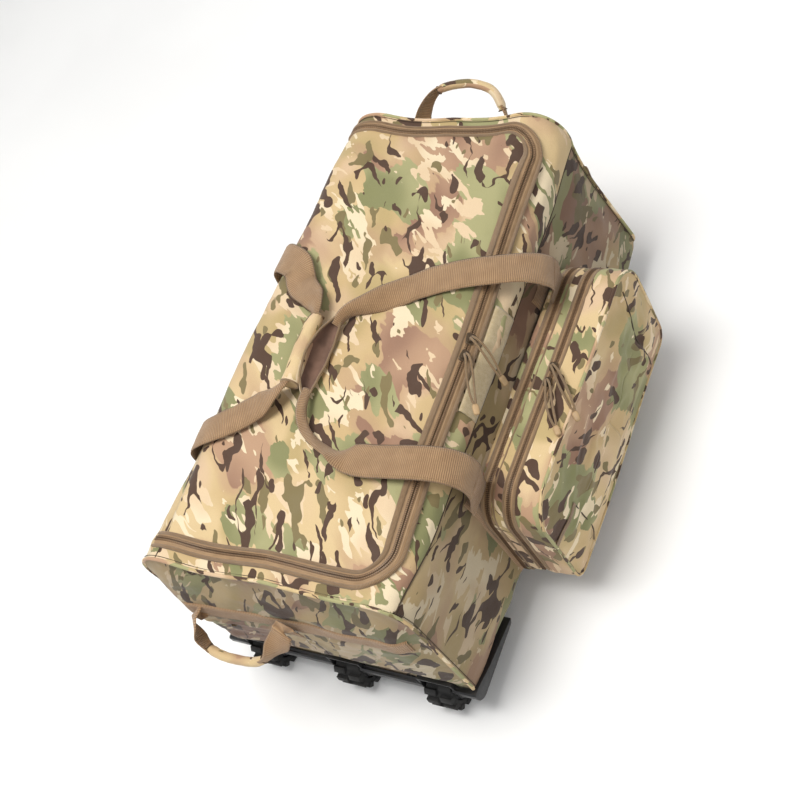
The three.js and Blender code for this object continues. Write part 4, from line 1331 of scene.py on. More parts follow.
def build_loop_patch():
    """Loop-fastener patch on the band, with a low sewn edge."""
    x = np.linspace(-92.0, 74.0, int(70 * DENSITY))
    low = seam_s(x) - 3.0
    high = -s_of_y(x, near_y(x)) + 17.5
    shares = np.linspace(0, 1, 12)
    rows = []
    for share in shares:
        around = low + (high - low) * share
        pile = 1.7 if 0 < share < 1 else 0.0
        rows.append(shell(x, -around, 3.4 + pile + 0.5 * perlin(x / 20.0, around / 9.0, 3.0)))
    uv = stack(x[None, :], (shares * 30)[:, None])
    grid("loop_patch_pile", np.array(rows), uv, "pile", "body", solid=1.2, replaces="loop_patch")


build_loop_patch()


def end_band(end, sign, z_low, z_high, y_from, y_to, sag):
    """Webbing sewn across an end panel."""
    y = np.linspace(y_from, y_to, int(90 * DENSITY))
    middle = (z_low + z_high) / 2 + sag * np.sin(np.linspace(0, math.pi, len(y)))
    shares = np.linspace(0, 1, 9)
    rows = []
    for i, share in enumerate(shares):
        z = middle + (share - 0.5) * (z_high - z_low)
        lift = 2.2 if 0 < i < 8 else 0.3
        x = [read_grid(END_GRIDS[sign], (1, 2, 0), spot, 60.0, 1e-12) for spot in zip(y, z)]
        rows.append(stack(np.array(x) + sign * lift, y, z))
    uv = stack(y[None, :], (shares * (z_high - z_low))[:, None])
    grid(f"{end}_webbing", np.array(rows), uv, "webbing", "body", solid=1.2,
         replaces=f"{end}_band")


end_band("wheel_end", -1, z_low=162, z_high=192, y_from=-186, y_to=178, sag=-4)
end_band("handle_end", 1, z_low=142, z_high=194, y_from=-184, y_to=184, sag=-3)

# ------------------------------------------------------------------ side pocket
POCKET_X = (-191.0, 219.0)
POCKET_Z = (3.0, 193.0)
POCKET_CORNER = 50.0  # radius of the top corners
POCKET_FOOT_CORNER = POCKET_CORNER * 0.45
POCKET_MIDDLE = (14.0, 98.0)
POCKET_CENTRE = (14.0, -250.0, 98.0)
BASE_ZIP_Y, OPENING_ZIP_Y, FRONT_Y = -220.0, -251.0, -297.0


def pocket_ring():
    """(x, z) round the pocket: from mid bottom up the wheel-end side, over and back down."""
    (x_low, x_high), (z_low, z_high) = POCKET_X, POCKET_Z
    top, foot = POCKET_CORNER, POCKET_FOOT_CORNER
    corners = [
        # centre x, centre z, radius, start and end angle in quarter turns, points
        (x_low + foot, z_low + foot, foot, 3, 2, 16),
        (x_low + top, z_high - top, top, 2, 1, 22),
        (x_high - top, z_high - top, top, 1, 0, 22),
        (x_high - foot, z_low + foot, foot, 0, -1, 16),
    ]
    ends = np.array([[(x_low + x_high) / 2, z_low]])
    parts = [ends]
    for x, z, radius, start, end, count in corners:
        angles = np.linspace(start * QUARTER, end * QUARTER, count)
        parts.append(stack(x + radius * np.cos(angles), z + radius * np.sin(angles)))
    return resample(np.vstack(parts + [ends]), int(300 * DENSITY))


RING = pocket_ring()
_along = np.gradient(RING, axis=0)
_along[0] = _along[-1] = _along[1]
_along /= np.linalg.norm(_along, axis=1)[:, None]
RING_OUT = stack(-_along[:, 1], _along[:, 0])
RING_RUN = lengths(RING)
WHOLE_RING = np.arange(len(RING))
# the opening zipper runs over the top and down the two sides
OPENING = np.where(RING[:, 1] > 26)[0]


def ring_swell(y):
    """The pocket's walls sag and swell more towards the front: outward mm round the ring."""
    share = RING_RUN / RING_RUN[-1]
    return 2.2 * np.sin(share * 2 * math.pi * 3 + 0.6) * ((-y - 208) / 95.0)


def ring_row(y, height, part=WHOLE_RING):
    """Points round the pocket at y, raised outwards from the ring."""
    raised = np.broadcast_to(height + ring_swell(y), len(RING))[part]
    spots = RING[part] + RING_OUT[part] * raised[:, None]
    return stack(spots[:, 0], y, spots[:, 1])


def pocket_band(name, y_from, y_to, mat, body, bulge, uneven, seed, count, replaces=None):
    """A strip of cloth round the pocket between two y."""
    rows, uv_rows = [], []
    for k, y in enumerate(np.linspace(y_from, y_to, count)):
        share = k / (count - 1)
        inside = math.sin(math.pi * share) ** 0.7 if 0 < share < 1 else 0.0
        height = bulge * inside + uneven * inside * perlin(RING_RUN / 38.0, y / 20.0 + seed, seed)
        height = height + 0.5 * uneven * inside * perlin(RING_RUN / 14.0, y / 14.0, seed + 5)
        rows.append(ring_row(y, height))
        uv_rows.append(stack(RING_RUN, -y))
    grid(name, np.array(rows), np.array(uv_rows), mat, body, solid=2.0, lined=True,
         replaces=replaces, centre=POCKET_CENTRE)


def pocket_zip(name, y, side, body, width=6.0, bind=3.6, replaces=None, part=WHOLE_RING):
    """One half of a zipper round the pocket. side is -1 towards the front."""
    profile = np.array([
        # offset from the closing line, height
        (0.25, -1.0), (0.25, 0.9), (0.9, 1.9), (2.0, 2.1), (2.9, 1.2), (4.2, 0.9),
        (width, 0.9), (width + 0.4, 1.7), (width + bind * 0.5, 2.1), (width + bind, 1.2),
        (width + bind + 0.2, -1.2),
    ])
    bound_from = 6
    rows = [ring_row(y + side * offset, height + 0.8, part) for offset, height in profile]
    uv = stack(RING_RUN[part][None, :], lengths(profile)[:, None])
    ob = grid(name, np.array(rows), uv, ["tape", "binding"], body, replaces=replaces,
              centre=POCKET_CENTRE)
    for k, poly in enumerate(ob.data.polygons):
        if k // (len(part) - 1) >= bound_from:
            poly.material_index = 1


# columns: along the ring, away from the closing line, outwards
POCKET_TOOTH = np.array([
    (-1, 0.1, -0.8), (1, 0.1, -0.8), (1, 3.1, -0.8), (-1, 3.1, -0.8),
    (-0.7, 0.3, 1), (0.7, 0.3, 1), (0.7, 2.8, 1), (-0.7, 2.8, 1),
]) * (0.8, 1, 0.55)


def pocket_teeth(name, y, side, body, part=WHOLE_RING):
    path = resample(RING[part], step=2.4)
    along = np.gradient(path, axis=0)
    along /= np.linalg.norm(along, axis=1)[:, None]
    outward = stack(-along[:, 1], along[:, 0])
    shares = np.linspace(0, 1, len(path)), np.linspace(0, 1, len(part))
    swell = np.interp(*shares, ring_swell(y)[part])
    spots = path + outward * (3.0 + swell)[:, None]
    axes = (
        stack(along[:, 0], 0.0, along[:, 1]),
        np.array([0.0, side, 0.0]),
        stack(outward[:, 0], 0.0, outward[:, 1]),
    )
    teeth_mesh(name, stack(spots[:, 0], y, spots[:, 1]), axes, POCKET_TOOTH, body)


# zipper at the foot of the pocket
pocket_band("pocket_foot_fabric", -200, -212, "camo_strip", "body", bulge=0.0, uneven=0.0,
            seed=1.0, count=4)
pocket_zip("pocket_base_zip_bag_side", BASE_ZIP_Y, 1, "body", width=7.0, bind=5.0,
           replaces="pocket_base_zipper")
pocket_zip("pocket_base_zip_pocket_side", BASE_ZIP_Y, -1, "body", width=7.0, bind=3.0)
pocket_teeth("pocket_base_teeth_a", BASE_ZIP_Y, 1, "body")
pocket_teeth("pocket_base_teeth_b", BASE_ZIP_Y, -1, "body")
# strip between the two zippers
pocket_band("pocket_gusset_fabric", -211, -246, "camo_strip", "body", bulge=2.0, uneven=1.3,
            seed=3.0, count=16, replaces="pocket_gusset")
pocket_zip("pocket_zip_bag_side", OPENING_ZIP_Y, 1, "body", part=OPENING,
           replaces="pocket_zipper_bag_half")
pocket_teeth("pocket_teeth_bag_side", OPENING_ZIP_Y, 1, "body", OPENING)
pocket_zip("pocket_zip_front_side", OPENING_ZIP_Y, -1, "pocket_front", part=OPENING,
           replaces="pocket_zipper_cover_half")
pocket_teeth("pocket_teeth_front_side", OPENING_ZIP_Y, -1, "pocket_front", OPENING)
pocket_band("pocket_front_strip", -252, -296, "camo_pocket", "pocket_front", bulge=2.4,
            uneven=1.5, seed=8.0, count=18, replaces="pocket_cover")

FRONT_RING = ring_row(-296, 0)[:, [0, 2]]


def build_pocket_piping():
    path = resample(stack(FRONT_RING[:, 0], FRONT_Y, FRONT_RING[:, 1]), step=3.5)
    centre = np.array([POCKET_MIDDLE[0], FRONT_Y, POCKET_MIDDLE[1]])
    side, normal = path_frames(path, path - centre)
    sweep("pocket_piping", path, side, normal, circle(2.5), "camo_piping", "pocket_front")


def build_pocket_front():
    """The front face, which sags between its seams. Returns its grid of points."""
    out = (np.linspace(0, 1, int(64 * DENSITY)) ** 0.85)[:, None]
    centre_line = stack(np.clip(FRONT_RING[:, 0], -95, 125), 92.0)
    spots = centre_line[None] * (1 - out[..., None]) + FRONT_RING[None] * out[..., None]
    x, z = spots[..., 0], spots[..., 1]
    edge = (1 - out) * 75
    inside = smoothstep(0, 42, edge)
    sag = 6.0 * inside * smoothstep(10, 80, z + 20) + 4.0 * inside * hump(z, 50, 40.0)
    sag = sag + 3.2 * perlin(x / 70.0 + z / 160.0, z / 55.0, 41.0) * inside
    fold = np.clip(ridged(x / 75.0 - z / 120.0, z / 48.0 + x / 300.0, 4.0), 0, 1)
    sag = sag + 4.6 * fold * inside - 1.4 * inside
    sag = sag + 1.7 * perlin(x / 24.0, z / 17.0, 14.0) * inside
    sag = sag + 0.9 * perlin(x / 11.0, z / 11.0, 24.0) * hump(edge, 9, 8.0)
    # valley along the pleat near the handle end
    sag = sag - 3.2 * hump(x - 152, 0.00045 * (z - 60) ** 2, 7.0) * inside
    points = stack(x, -297.6 - sag, z)
    grid("pocket_front_fabric", points, spots, "camo_pocket", "pocket_front", solid=2.2,
         lined=True, centre=POCKET_CENTRE)
    return points


build_pocket_piping()
FRONT_GRID = build_pocket_front()


def front_strip(name, spots, width, mat, lift=1.6):
    """A flat strip on the pocket's front through (x, z) spots."""
    points = [(x, read_grid(FRONT_GRID, (0, 2, 1), (x, z), 30.0) - lift, z) for x, z in spots]
    path = spline(points, 40)
    side, normal = path_frames(path, (0, -1, 0))
    sweep(name, path, side, normal, strap_profile(width, 1.2), mat, "pocket_front")


front_strip("slip_pocket_binding", [(-189, 108), (-172, 110), (-152, 113), (-128, 116)],
            9.0, "binding")
front_strip("slip_pocket_seam", [(-128, 116), (-125, 80), (-126, 45), (-128, 8)],
            2.0, "seam", lift=0.6)
front_strip("pocket_pleat_seam", [(176, 172), (160, 140), (151, 95), (150, 50), (160, 12)],
            1.8, "seam", lift=0.2)

# ------------------------------------------------------------------ carry handles


def orient_path(path, hints):
    """Side and face vectors of a strap from hints (share of length, face normal)."""
    share = lengths(path) / lengths(path)[-1]
    stations, faces = zip(*hints)
    face = np.stack([np.interp(share, stations, part) for part in np.array(faces, float).T], 1)
    along = tangents(path)
    face -= (face * along).sum(1)[:, None] * along
    face /= np.linalg.norm(face, axis=1)[:, None] + 1e-9
    return np.cross(along, face), face


def webbing_strap(name, points, hints, widths, crown, cut, replaces, width=50.0,
                  count=int(120 * STRAP_DENSITY), mat="webbing"):
    """Webbing along a spline, cut to a part of its length.

    widths and crown hold (share of length, mm); width sets the uv across.
    """
    path = spline(points, count)
    side, face = orient_path(path, hints)
    run = lengths(path)
    share = run / run[-1]
    widths, crown = (np.interp(share, *zip(*table))[:, None] for table in (widths, crown))
    x, thick = strap_profile(2.0, 2.4, 15).T
    # the name's length seeds the waviness
    waves = 0.8 * perlin(run[:, None] / 34.0, x * 1.1, width * 0.13 + len(name))
    profile = stack(x * widths / 2, thick + (crown * (1 - x**2) + waves))
    start = int(cut[0] * (count - 1))
    stop = int(round(cut[1] * (count - 1))) + 1
    path, side, face, profile = (part[start:stop] for part in (path, side, face, profile))
    return sweep(name, path, side, face, profile, mat, None, replaces,
                 across=x * width / 2 + width / 2)


def share_at(path, point):
    """Index of the path's nearest point."""
    return int(np.argmin(np.linalg.norm(path - np.array(point, float), axis=1)))


def over_far(x, degrees, height):
    """A point above the far shoulder; 90 degrees is the top of the side wall, 0 the flat top."""
    return point_on(x, float(flat_half(x)) + SHOULDER * math.radians(degrees), height)


def up_side(x, z, height):
    """A point above the far side wall."""
    s = wall_s(x, z)
    return point_on(x, s, height + side_swell(np.array([float(x)]), np.array([s]), 1)[0])


def hints_over(points, degrees, tail):
    """Face hints for a strap that starts up the far side and bends over the shoulder."""
    path = spline(points, 400)
    run = lengths(path)
    hints = []
    for point, angle in zip(points, map(math.radians, degrees)):
        station = float(run[share_at(path, point)] / run[-1])
        hints.append((station, (0.0, math.sin(angle), math.cos(angle))))
    return hints + tail


# points of each strap's middle, then hints (share of length, face normal)
near_handle = [
    (157, -212.8, 190), (156, -214.5, 204), (154, -221, 222), (149, -228, 244),
    (140, -226, 266), (128, -209, 287), (114, -178, 300), (100, -130, 304.5),
    (84, -82, 303.5), (60, -38, 304), (40, -4, 307), (26, 19, 310), (14, 31, 309),
    (0, 37, 306),
]
near_handle_hints = [
    (0, (0, -1, 0.05)), (0.10, (0, -1, 0.3)), (0.20, (0.1, -0.8, 0.7)), (0.3, (0.1, -0.3, 1)),
    (0.45, (0, 0, 1)), (0.68, (0, -0.1, 1)), (0.82, (-0.3, -0.6, 0.75)),
    (0.92, (-0.45, -0.85, 0.35)), (1, (-0.3, -0.95, 0.1)),
]
near_wheel = [
    (-177, -212.8, 190), (-177, -214.5, 204), (-177, -221, 222), (-178, -229, 246),
    (-180, -227, 270), (-184, -211, 291), (-189, -180, 301), (-194, -140, 303),
    (-197, -95, 301), (-195, -52, 301), (-184, -14, 303), (-165, 14, 306), (-143, 27, 309),
    (-126, 32, 309), (-108, 36, 306),
]
near_wheel_hints = [
    (0, (0, -1, 0.05)), (0.10, (0, -1, 0.3)), (0.20, (0, -0.8, 0.7)), (0.3, (0, -0.3, 1)),
    (0.5, (0, 0, 1)), (0.62, (0.08, -0.05, 1)), (0.69, (0.75, -0.3, 0.6)),
    (0.80, (0.7, -0.5, 0.5)), (0.90, (0.35, -0.8, 0.4)), (1, (0.1, -0.98, 0.15)),
]
far_handle = [
    up_side(112, 188, 3), up_side(112, 206, 3.5), up_side(112, 226, 6),
    over_far(112, 66, 12), over_far(110, 48, 16.5), over_far(102, 28, 18.5),
    over_far(87, 8, 18.5), (58, 116, 315), (38, 89, 315), (21, 72, 315.5), (4, 63, 316),
]
far_handle_hints = hints_over(
    far_handle, (88, 88, 86, 66, 48, 28, 8),
    [(0.84, (0.05, 0.0, 1)), (0.93, (-0.3, 0.4, 0.8)), (1, (-0.3, 0.7, 0.6))],
)
far_wheel = [
    up_side(-186, 188, 3), up_side(-186, 206, 3.5), up_side(-186, 224, 7),
    over_far(-188, 70, 12), over_far(-189, 50, 14), over_far(-186, 30, 12),
    over_far(-174, 10, 10), (-150, 116, 304), (-131, 90, 309), (-115, 72, 314),
    (-100, 60, 316),
]
far_wheel_hints = hints_over(
    far_wheel, (88, 88, 86, 70, 50, 30, 10),
    [(0.80, (-0.05, 0.0, 1)), (0.92, (0.3, 0.4, 0.8)), (1, (0.3, 0.7, 0.6))],
)
CARRY_STRAPS = [
    # side, end, points, hints, widths as (share of length, mm)
    ("near", "handle_end", near_handle, near_handle_hints,
     [(0, 50), (0.62, 50), (0.8, 38), (0.9, 25), (1, 17)]),
    ("near", "wheel_end", near_wheel, near_wheel_hints,
     [(0, 50), (0.58, 50), (0.67, 40), (0.75, 27), (0.84, 20), (1, 16)]),
    ("far", "handle_end", far_handle, far_handle_hints,
     [(0, 50), (0.70, 50), (0.86, 38), (0.95, 25), (1, 18)]),
    ("far", "wheel_end", far_wheel, far_wheel_hints,
     [(0, 50), (0.66, 50), (0.85, 42), (0.94, 31), (1, 22)]),
]
CARRY_CROWN = [(0, 0), (0.5, 0.5), (0.72, 2.0), (0.86, 7.0), (1, 7.0)]


def carry_strap(side, end, points, hints, widths):
    """A carry handle's leg up the side, and its loop from there to the grip."""
    leg_top, bend_end = points[3], points[5]
    split = share_at(spline(points, 400), leg_top) / 399.0
    leg = webbing_strap(f"{side}_leg_webbing_{end}", points, hints, widths, CARRY_CROWN,
                        cut=(0, split), replaces=f"{side}_leg_{end}")
    if side == "near":
        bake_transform(leg)
    else:
        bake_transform(leg)
    loop = webbing_strap(f"{side}_loop_webbing_{end}", points, hints, widths, CARRY_CROWN,
                         cut=(split, 1), replaces=f"{side}_handle_webbing")
    if side == "near":
        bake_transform(loop)
    else:
        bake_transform(loop)


for row in CARRY_STRAPS:
    carry_strap(*row)

FAR_GRIP_SQUASH = 0.86


def build_far_grip():
    """A padded sleeve of cloth, gathered where the webbing enters, with bound edges."""
    path = spline([(8, 65, 316), (-20, 66, 317), (-60, 64, 317), (-106, 60, 315.5)],
                  int(60 * STRAP_DENSITY))
    run = lengths(path)[:, None]
    share = run / run[-1]
    radii = [  # (share of length, mm)
        (0, 8.5), (0.06, 11.5), (0.15, 12.6), (0.5, 12.8), (0.85, 12.6), (0.95, 13.2), (1, 14.0),
    ]
    side, normal = path_frames(path, (0.01, 0.006, 1.0))
    angles = full_turn(26)
    radius = np.interp(share, *zip(*radii)) * (1 + 0.03 * np.cos(3 * angles + share * 4))
    radius = radius + 0.9 * perlin(np.cos(angles) * 1.6, np.sin(angles) * 1.6, run / 22.0)
    gathers = 0.7 * np.cos(angles * 9)
    radius = radius + gathers * (1 - smoothstep(0.0, 0.12, share))
    radius = radius + gathers * smoothstep(0.88, 1.0, share)
    profile = stack(np.cos(angles) * radius, np.sin(angles) * radius * FAR_GRIP_SQUASH)
    sweep("far_grip_sleeve", path, side, normal, profile, "camo_grip", "far_loop",
          "far_handle_grip")
    for k, (x, radius) in enumerate(((7.0, 9.6), (-105.5, 13.6))):
        turn = np.linspace(0, 2 * math.pi, 40)
        y = 65.0 - 0.044 * (8 - x) + np.cos(turn) * radius
        rim = stack(x, y, 316 + np.sin(turn) * radius * FAR_GRIP_SQUASH)
        tube(f"far_grip_edge_{k}", rim, 1.3, "binding", "far_loop", up=(1, 0, 0))


def build_near_grip():
    """The near wrap, folded round the webbing and gaping to show its inside."""
    name, body = "near_grip_wrap", "near_loop"
    axis = spline([(16, 30, 311), (-12, 37, 311), (-56, 41, 310.5), (-94, 38, 310),
                   (-124, 29, 309)], int(64 * STRAP_DENSITY))
    run = lengths(axis)[:, None]
    share = run / run[-1]
    along = tangents(axis)
    mouth = np.array([-0.16, -0.62, 0.76])  # the open mouth looks up and towards the pocket
    up = mouth - (along @ mouth)[:, None] * along
    up /= np.linalg.norm(up, axis=1)[:, None]
    side = np.cross(along, up)
    width = 17.2 * np.sin(math.pi * (0.02 + 0.96 * share)) ** 0.8 + 0.8
    depth = 14.0 * np.sin(math.pi * (0.04 + 0.92 * share)) ** 0.7 + 1.0
    step = np.arange(26)
    angles = math.pi * (step / 25) * 1.16 - 0.08 * math.pi
    x, z = -np.cos(angles), -np.sin(angles)
    waves = 0.9 * perlin(run / 18.0, step / 7.0, 3.0)
    outside = place(axis, side, up, stack(x * (width + waves), z * (depth + waves)))
    inside = place(axis, side, up,
                   stack(x * (width - 2.8 + waves * 0.5), z * (depth - 3.2) + 0.2))
    uv = stack(run, np.linspace(0, 60, 26))
    grid(name, outside, uv, "camo_grip", body, replaces="near_handle_grip", centre=None)
    # the inside face is painted shade: plain dark brown in place of the camo cloth in shadow
    grid(name + "_inside", inside, uv, "wrap_inner", body, centre=None, flip=True)
    for column, tag in ((0, "l"), (-1, "r")):
        edge = (outside[:, column] + inside[:, column]) / 2
        tube(f"{name}_edge_{tag}", edge, 1.7, "cord", body)


build_far_grip()
build_near_grip()

# ------------------------------------------------------------------ end handles


def end_handle(name, points, hints, width, sleeve, radius):
    """A webbing loop on an end panel, narrowed inside a cloth sleeve.

    sleeve holds the shares of length where the sleeve starts and ends.
    """
    count = 160
    start, end = sleeve
    widths = [
        (0, width), (max(start - 0.10, 0.01), width), (start, width * 0.62),
        (end, width * 0.62), (min(end + 0.10, 0.99), width), (1, width),
    ]
    crown = [(0, 0), (start, 4), (end, 4), (1, 0)]
    for tag, cut in (("a", (0.0, start + 0.02)), ("b", (end - 0.02, 1.0))):
        ob = webbing_strap(f"{name}_webbing_{tag}", points, hints, widths, crown, cut,
                           f"{name}_webbing", width=width, count=count, mat="webbing_narrow")
        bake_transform(ob)
    path = spline(points, count)
    side, face = orient_path(path, hints)
    covered = slice(int(start * (count - 1)), int(end * (count - 1)) + 1)
    path, side, face = path[covered], side[covered], face[covered]
    run = lengths(path)[:, None]
    share = run / run[-1]
    angles = full_turn(22)
    pinch = 1 - 0.22 * (1 - smoothstep(0, 0.08, share)) - 0.22 * smoothstep(0.92, 1, share)
    round_it = radius * pinch * (1 + 0.04 * np.cos(2 * angles))
    round_it = round_it + 0.6 * perlin(np.cos(angles) * 1.4, np.sin(angles) * 1.4, run / 14.0)
    profile = stack(np.cos(angles) * round_it, np.sin(angles) * round_it * 0.9)
    sweep(f"{name}_sleeve", path, side, face, profile, "camo_grip", name, f"{name}_sleeve")
    turn = np.linspace(0, 2 * math.pi, 30)[:, None]
    for k, at in enumerate((0, -1)):
        rim = path[at] + side[at] * np.cos(turn) * radius * 0.86
        rim = rim + face[at] * np.sin(turn) * radius * 0.78
        tube(f"{name}_sleeve_edge_{k}", rim, 1.0, "thread", name, count=6,
             up=np.cross(side[at], face[at]))


end_handle(
    "top_handle",
    points=[
        (388, 112, 148), (391, 112, 166), (399, 111, 188), (418, 107, 218), (444, 97, 249),
        (465, 76, 268), (475, 38, 274), (475, 0, 271), (466, -26, 262), (440, -42, 232),
        (411, -47, 200), (394, -49, 170), (391, -49, 148),
    ],
    hints=[
        (0, (1, 0.0, 0)), (0.12, (1, 0, 0.1)), (0.3, (0.55, 0.75, 0.1)),
        (0.5, (0.72, 0.1, 0.68)), (0.7, (0.5, -0.8, 0.1)), (0.88, (1, 0, 0.1)), (1, (1, 0, 0)),
    ],
    width=30.0, sleeve=(0.40, 0.72), radius=8.0,
)
end_handle(
    "wheel_end_handle",
    points=[
        (-392, 161, 140), (-395, 161, 160), (-402, 160, 176), (-418, 157, 176),
        (-434, 149, 160), (-444, 133, 148), (-448, 112, 143), (-448, 82, 142),
        (-446, 54, 146), (-439, 33, 155), (-428, 17, 167), (-416, 7, 180), (-408, 3, 186),
        (-403, 2, 174), (-401, 2, 160),
    ],
    hints=[
        (0, (-1, 0, 0)), (0.12, (-0.8, 0, 0.6)), (0.28, (-0.6, 0.6, -0.5)),
        (0.5, (-0.7, 0, -0.7)), (0.74, (-0.7, -0.4, -0.4)), (0.88, (-0.7, 0, 0.7)),
        (1, (-1, 0, 0)),
    ],
    width=35.0, sleeve=(0.34, 0.70), radius=7.6,
)

# ------------------------------------------------------------------ zipper sliders and cord pulls
# (along, across) of a slider's body, and (along, up) of its bridge
SLIDER_OUTLINE = [
    (-8, -3.2), (-7, -4.6), (0, -5.8), (6, -6.4), (8, -5.4), (8.6, 0), (8, 5.4), (6, 6.4),
    (0, 5.8), (-7, 4.6), (-8, 3.2),
]
SLIDER_BRIDGE = [(-5.5, 5.6), (-4.6, 8.6), (-1.5, 10.0), (2.0, 9.6), (4.4, 8.0), (5.4, 5.6)]


def slider(name, at, along, up, replaces, scale=1.0):
    """A cast slider: wedge body, raised step and bridge. It rides on the body of its name."""
    at, along, up = (np.array(value, float) for value in (at, along, up))
    along /= np.linalg.norm(along)
    up -= (up @ along) * along
    up /= np.linalg.norm(up)
    side = np.cross(up, along)
    bm = bmesh.new()

    def prism(shrink, low, high):
        """Stacks the shrunk outline from low to high, with an eased top edge."""
        rings = []
        for height, inset in ((low, 0.0), (low + 0.5, 0.0), (high - 0.5, 0.0), (high, 0.7)):
            keep = 1 - inset / 7.0
            ring = []
            for x, y in SLIDER_OUTLINE:
                flat = along * (x * shrink) * keep + side * (y * shrink) * keep
                ring.append(bm.verts.new((at + flat * scale + up * height * scale) * MM))
            rings.append(ring)
        count = len(SLIDER_OUTLINE)
        for lower, upper in zip(rings, rings[1:]):
            for i in range(count):
                k = (i + 1) % count
                bm.faces.new((lower[i], lower[k], upper[k], upper[i]))
        bm.faces.new(rings[0][::-1])
        bm.faces.new(rings[-1])

    prism(1.0, 2.6, 5.2)
    prism(0.62, 5.1, 6.2)
    mesh = bpy.data.meshes.new(name)
    bmesh.ops.recalc_face_normals(bm, faces=bm.faces)
    bm.to_mesh(mesh)
    bm.free()
    mesh.uv_layers.new(name="UVMap")
    ob = link(mesh, name)
    modifier = ob.modifiers.new("bevel", "BEVEL")
    modifier.width = 0.0004
    modifier.segments = 2
    path = spline([at + (along * x + up * z) * scale for x, z in SLIDER_BRIDGE], 24)
    sides = np.repeat(side[None], len(path), 0)
    sweep(name + "_bridge", path, sides, np.cross(sides, tangents(path)),
          strap_profile(3.2, 1.3, 7), "slider", name)
    finish_piece(ob, ["slider"], name, replaces)


def cord_pull(name, start, offsets, replaces, tip=15.0, up=(0, 0, 1)):
    """A doubled cord with a moulded tip, through offsets from its start at the bridge."""
    path = spline([start] + [start + np.array(offset) for offset in offsets], 60)
    side, _ = path_frames(path, up)
    share = lengths(path) / lengths(path)[-1]
    gap = 2.9 * np.sin(math.pi * np.clip(share * 1.05, 0, 1)) ** 0.6 + 1.2
    parts = [
        tube(f"{name}_cord_{tag}", path + side * (gap * sign)[:, None], 1.75, "cord", up=up)
        for tag, sign in (("a", -1), ("b", 1))
    ]
    join(f"{name}_cord", parts, name)
    direction = path[-1] - path[-3]
    direction /= np.linalg.norm(direction)
    axis = path[-1] - direction * 2.0 + direction * np.linspace(0, tip, 12)[:, None]
    side, normal = path_frames(axis, up)
    share = np.linspace(0, 1, 12)[:, None]
    width = np.interp(share, [0, 0.12, 0.3, 0.8, 0.95, 1], [3.4, 4.2, 4.6, 4.2, 3.6, 2.4])
    height = np.interp(share, [0, 0.12, 0.8, 0.95, 1], [2.4, 2.9, 2.6, 2.1, 1.2])
    unit = circle(1.0, 16)
    blunt = np.sign(unit) * np.abs(unit) ** 0.6
    profile = stack(blunt[:, 0] * width, blunt[:, 1] * height)
    sweep(name + "_tip", axis, side, normal, profile, "cord_tip", name, replaces)


def on_zip(x, raised=0.6):
    """A point above the main zipper's closing line, and the normal there."""
    s = s_of_y(x, near_y(x))
    return np.array(point_on(x, s, raised)), normals(np.array([x]), np.array([s]))[0]


wheel_at, wheel_up = on_zip(-16.0)
handle_at, handle_up = on_zip(10.0)
zip_along = on_zip(40.0)[0] - on_zip(-40.0)[0]
slider("main_slider_w", wheel_at, -zip_along, wheel_up, "main_slider_wheel_end")
slider("main_slider_h", handle_at, zip_along, handle_up, "main_slider_handle_end")
BRIDGE_TOP = 10.2
cord_pull("main_pull_w", wheel_at + wheel_up * BRIDGE_TOP,
          [(-6, -6, 1), (-26, -14, -6), (-50, -24, -12), (-68, -34, -16)],
          "main_pull_wheel_end", up=(0, -0.35, 0.9))
cord_pull("main_pull_h", handle_at + handle_up * BRIDGE_TOP,
          [(-4, -8, 0), (-14, -22, -10), (-26, -34, -24), (-34, -42, -40)],
          "main_pull_handle_end", up=(0, -0.6, 0.8))

POCKET_SLIDER_Z = POCKET_Z[1] + 2.2
POCKET_SLIDERS = [
    # tag, end, x, direction, offsets of the pull
    ("w", "wheel_end", 6.0, -1, [(-8, -5, 0.5), (-30, -14, 0.5), (-52, -26, 0.5), (-70, -38, -2)]),
    ("h", "handle_end", 30.0, 1, [(-8, -8, 0.5), (-28, -24, -1), (-48, -40, -4), (-64, -52, -12)]),
]
for tag, end, x, direction, _ in POCKET_SLIDERS:
    slider(f"pocket_slider_{tag}", (x, OPENING_ZIP_Y, POCKET_SLIDER_Z), (direction, 0, 0),
           (0, 0, 1), f"pocket_slider_{end}", scale=0.85)
for tag, end, x, _, offsets in POCKET_SLIDERS:
    cord_pull(f"pocket_pull_{tag}", np.array([x, OPENING_ZIP_Y, POCKET_SLIDER_Z + 8.6]),
              offsets, f"pocket_pull_{end}", tip=14)

# ------------------------------------------------------------------ CAD solids, finished


def dress(node, mat, bevel, segments):
    """Gives a CAD solid its material and rounded edges."""
    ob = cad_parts[node]
    ob.data.materials.clear()
    finish_piece(ob, [mat])
    if not ob.data.uv_layers:
        ob.data.uv_layers.new(name="UVMap")
    weld = ob.modifiers.new("weld", "WELD")
    weld.merge_threshold = 0.00002
    modifier = ob.modifiers.new("bevel", "BEVEL")
    modifier.width = bevel * 0.001
    modifier.segments = segments
    modifier.limit_method = "ANGLE"
    modifier.angle_limit = math.radians(35)
    modifier.harden_normals = True
    for poly in ob.data.polygons:
        poly.use_smooth = True


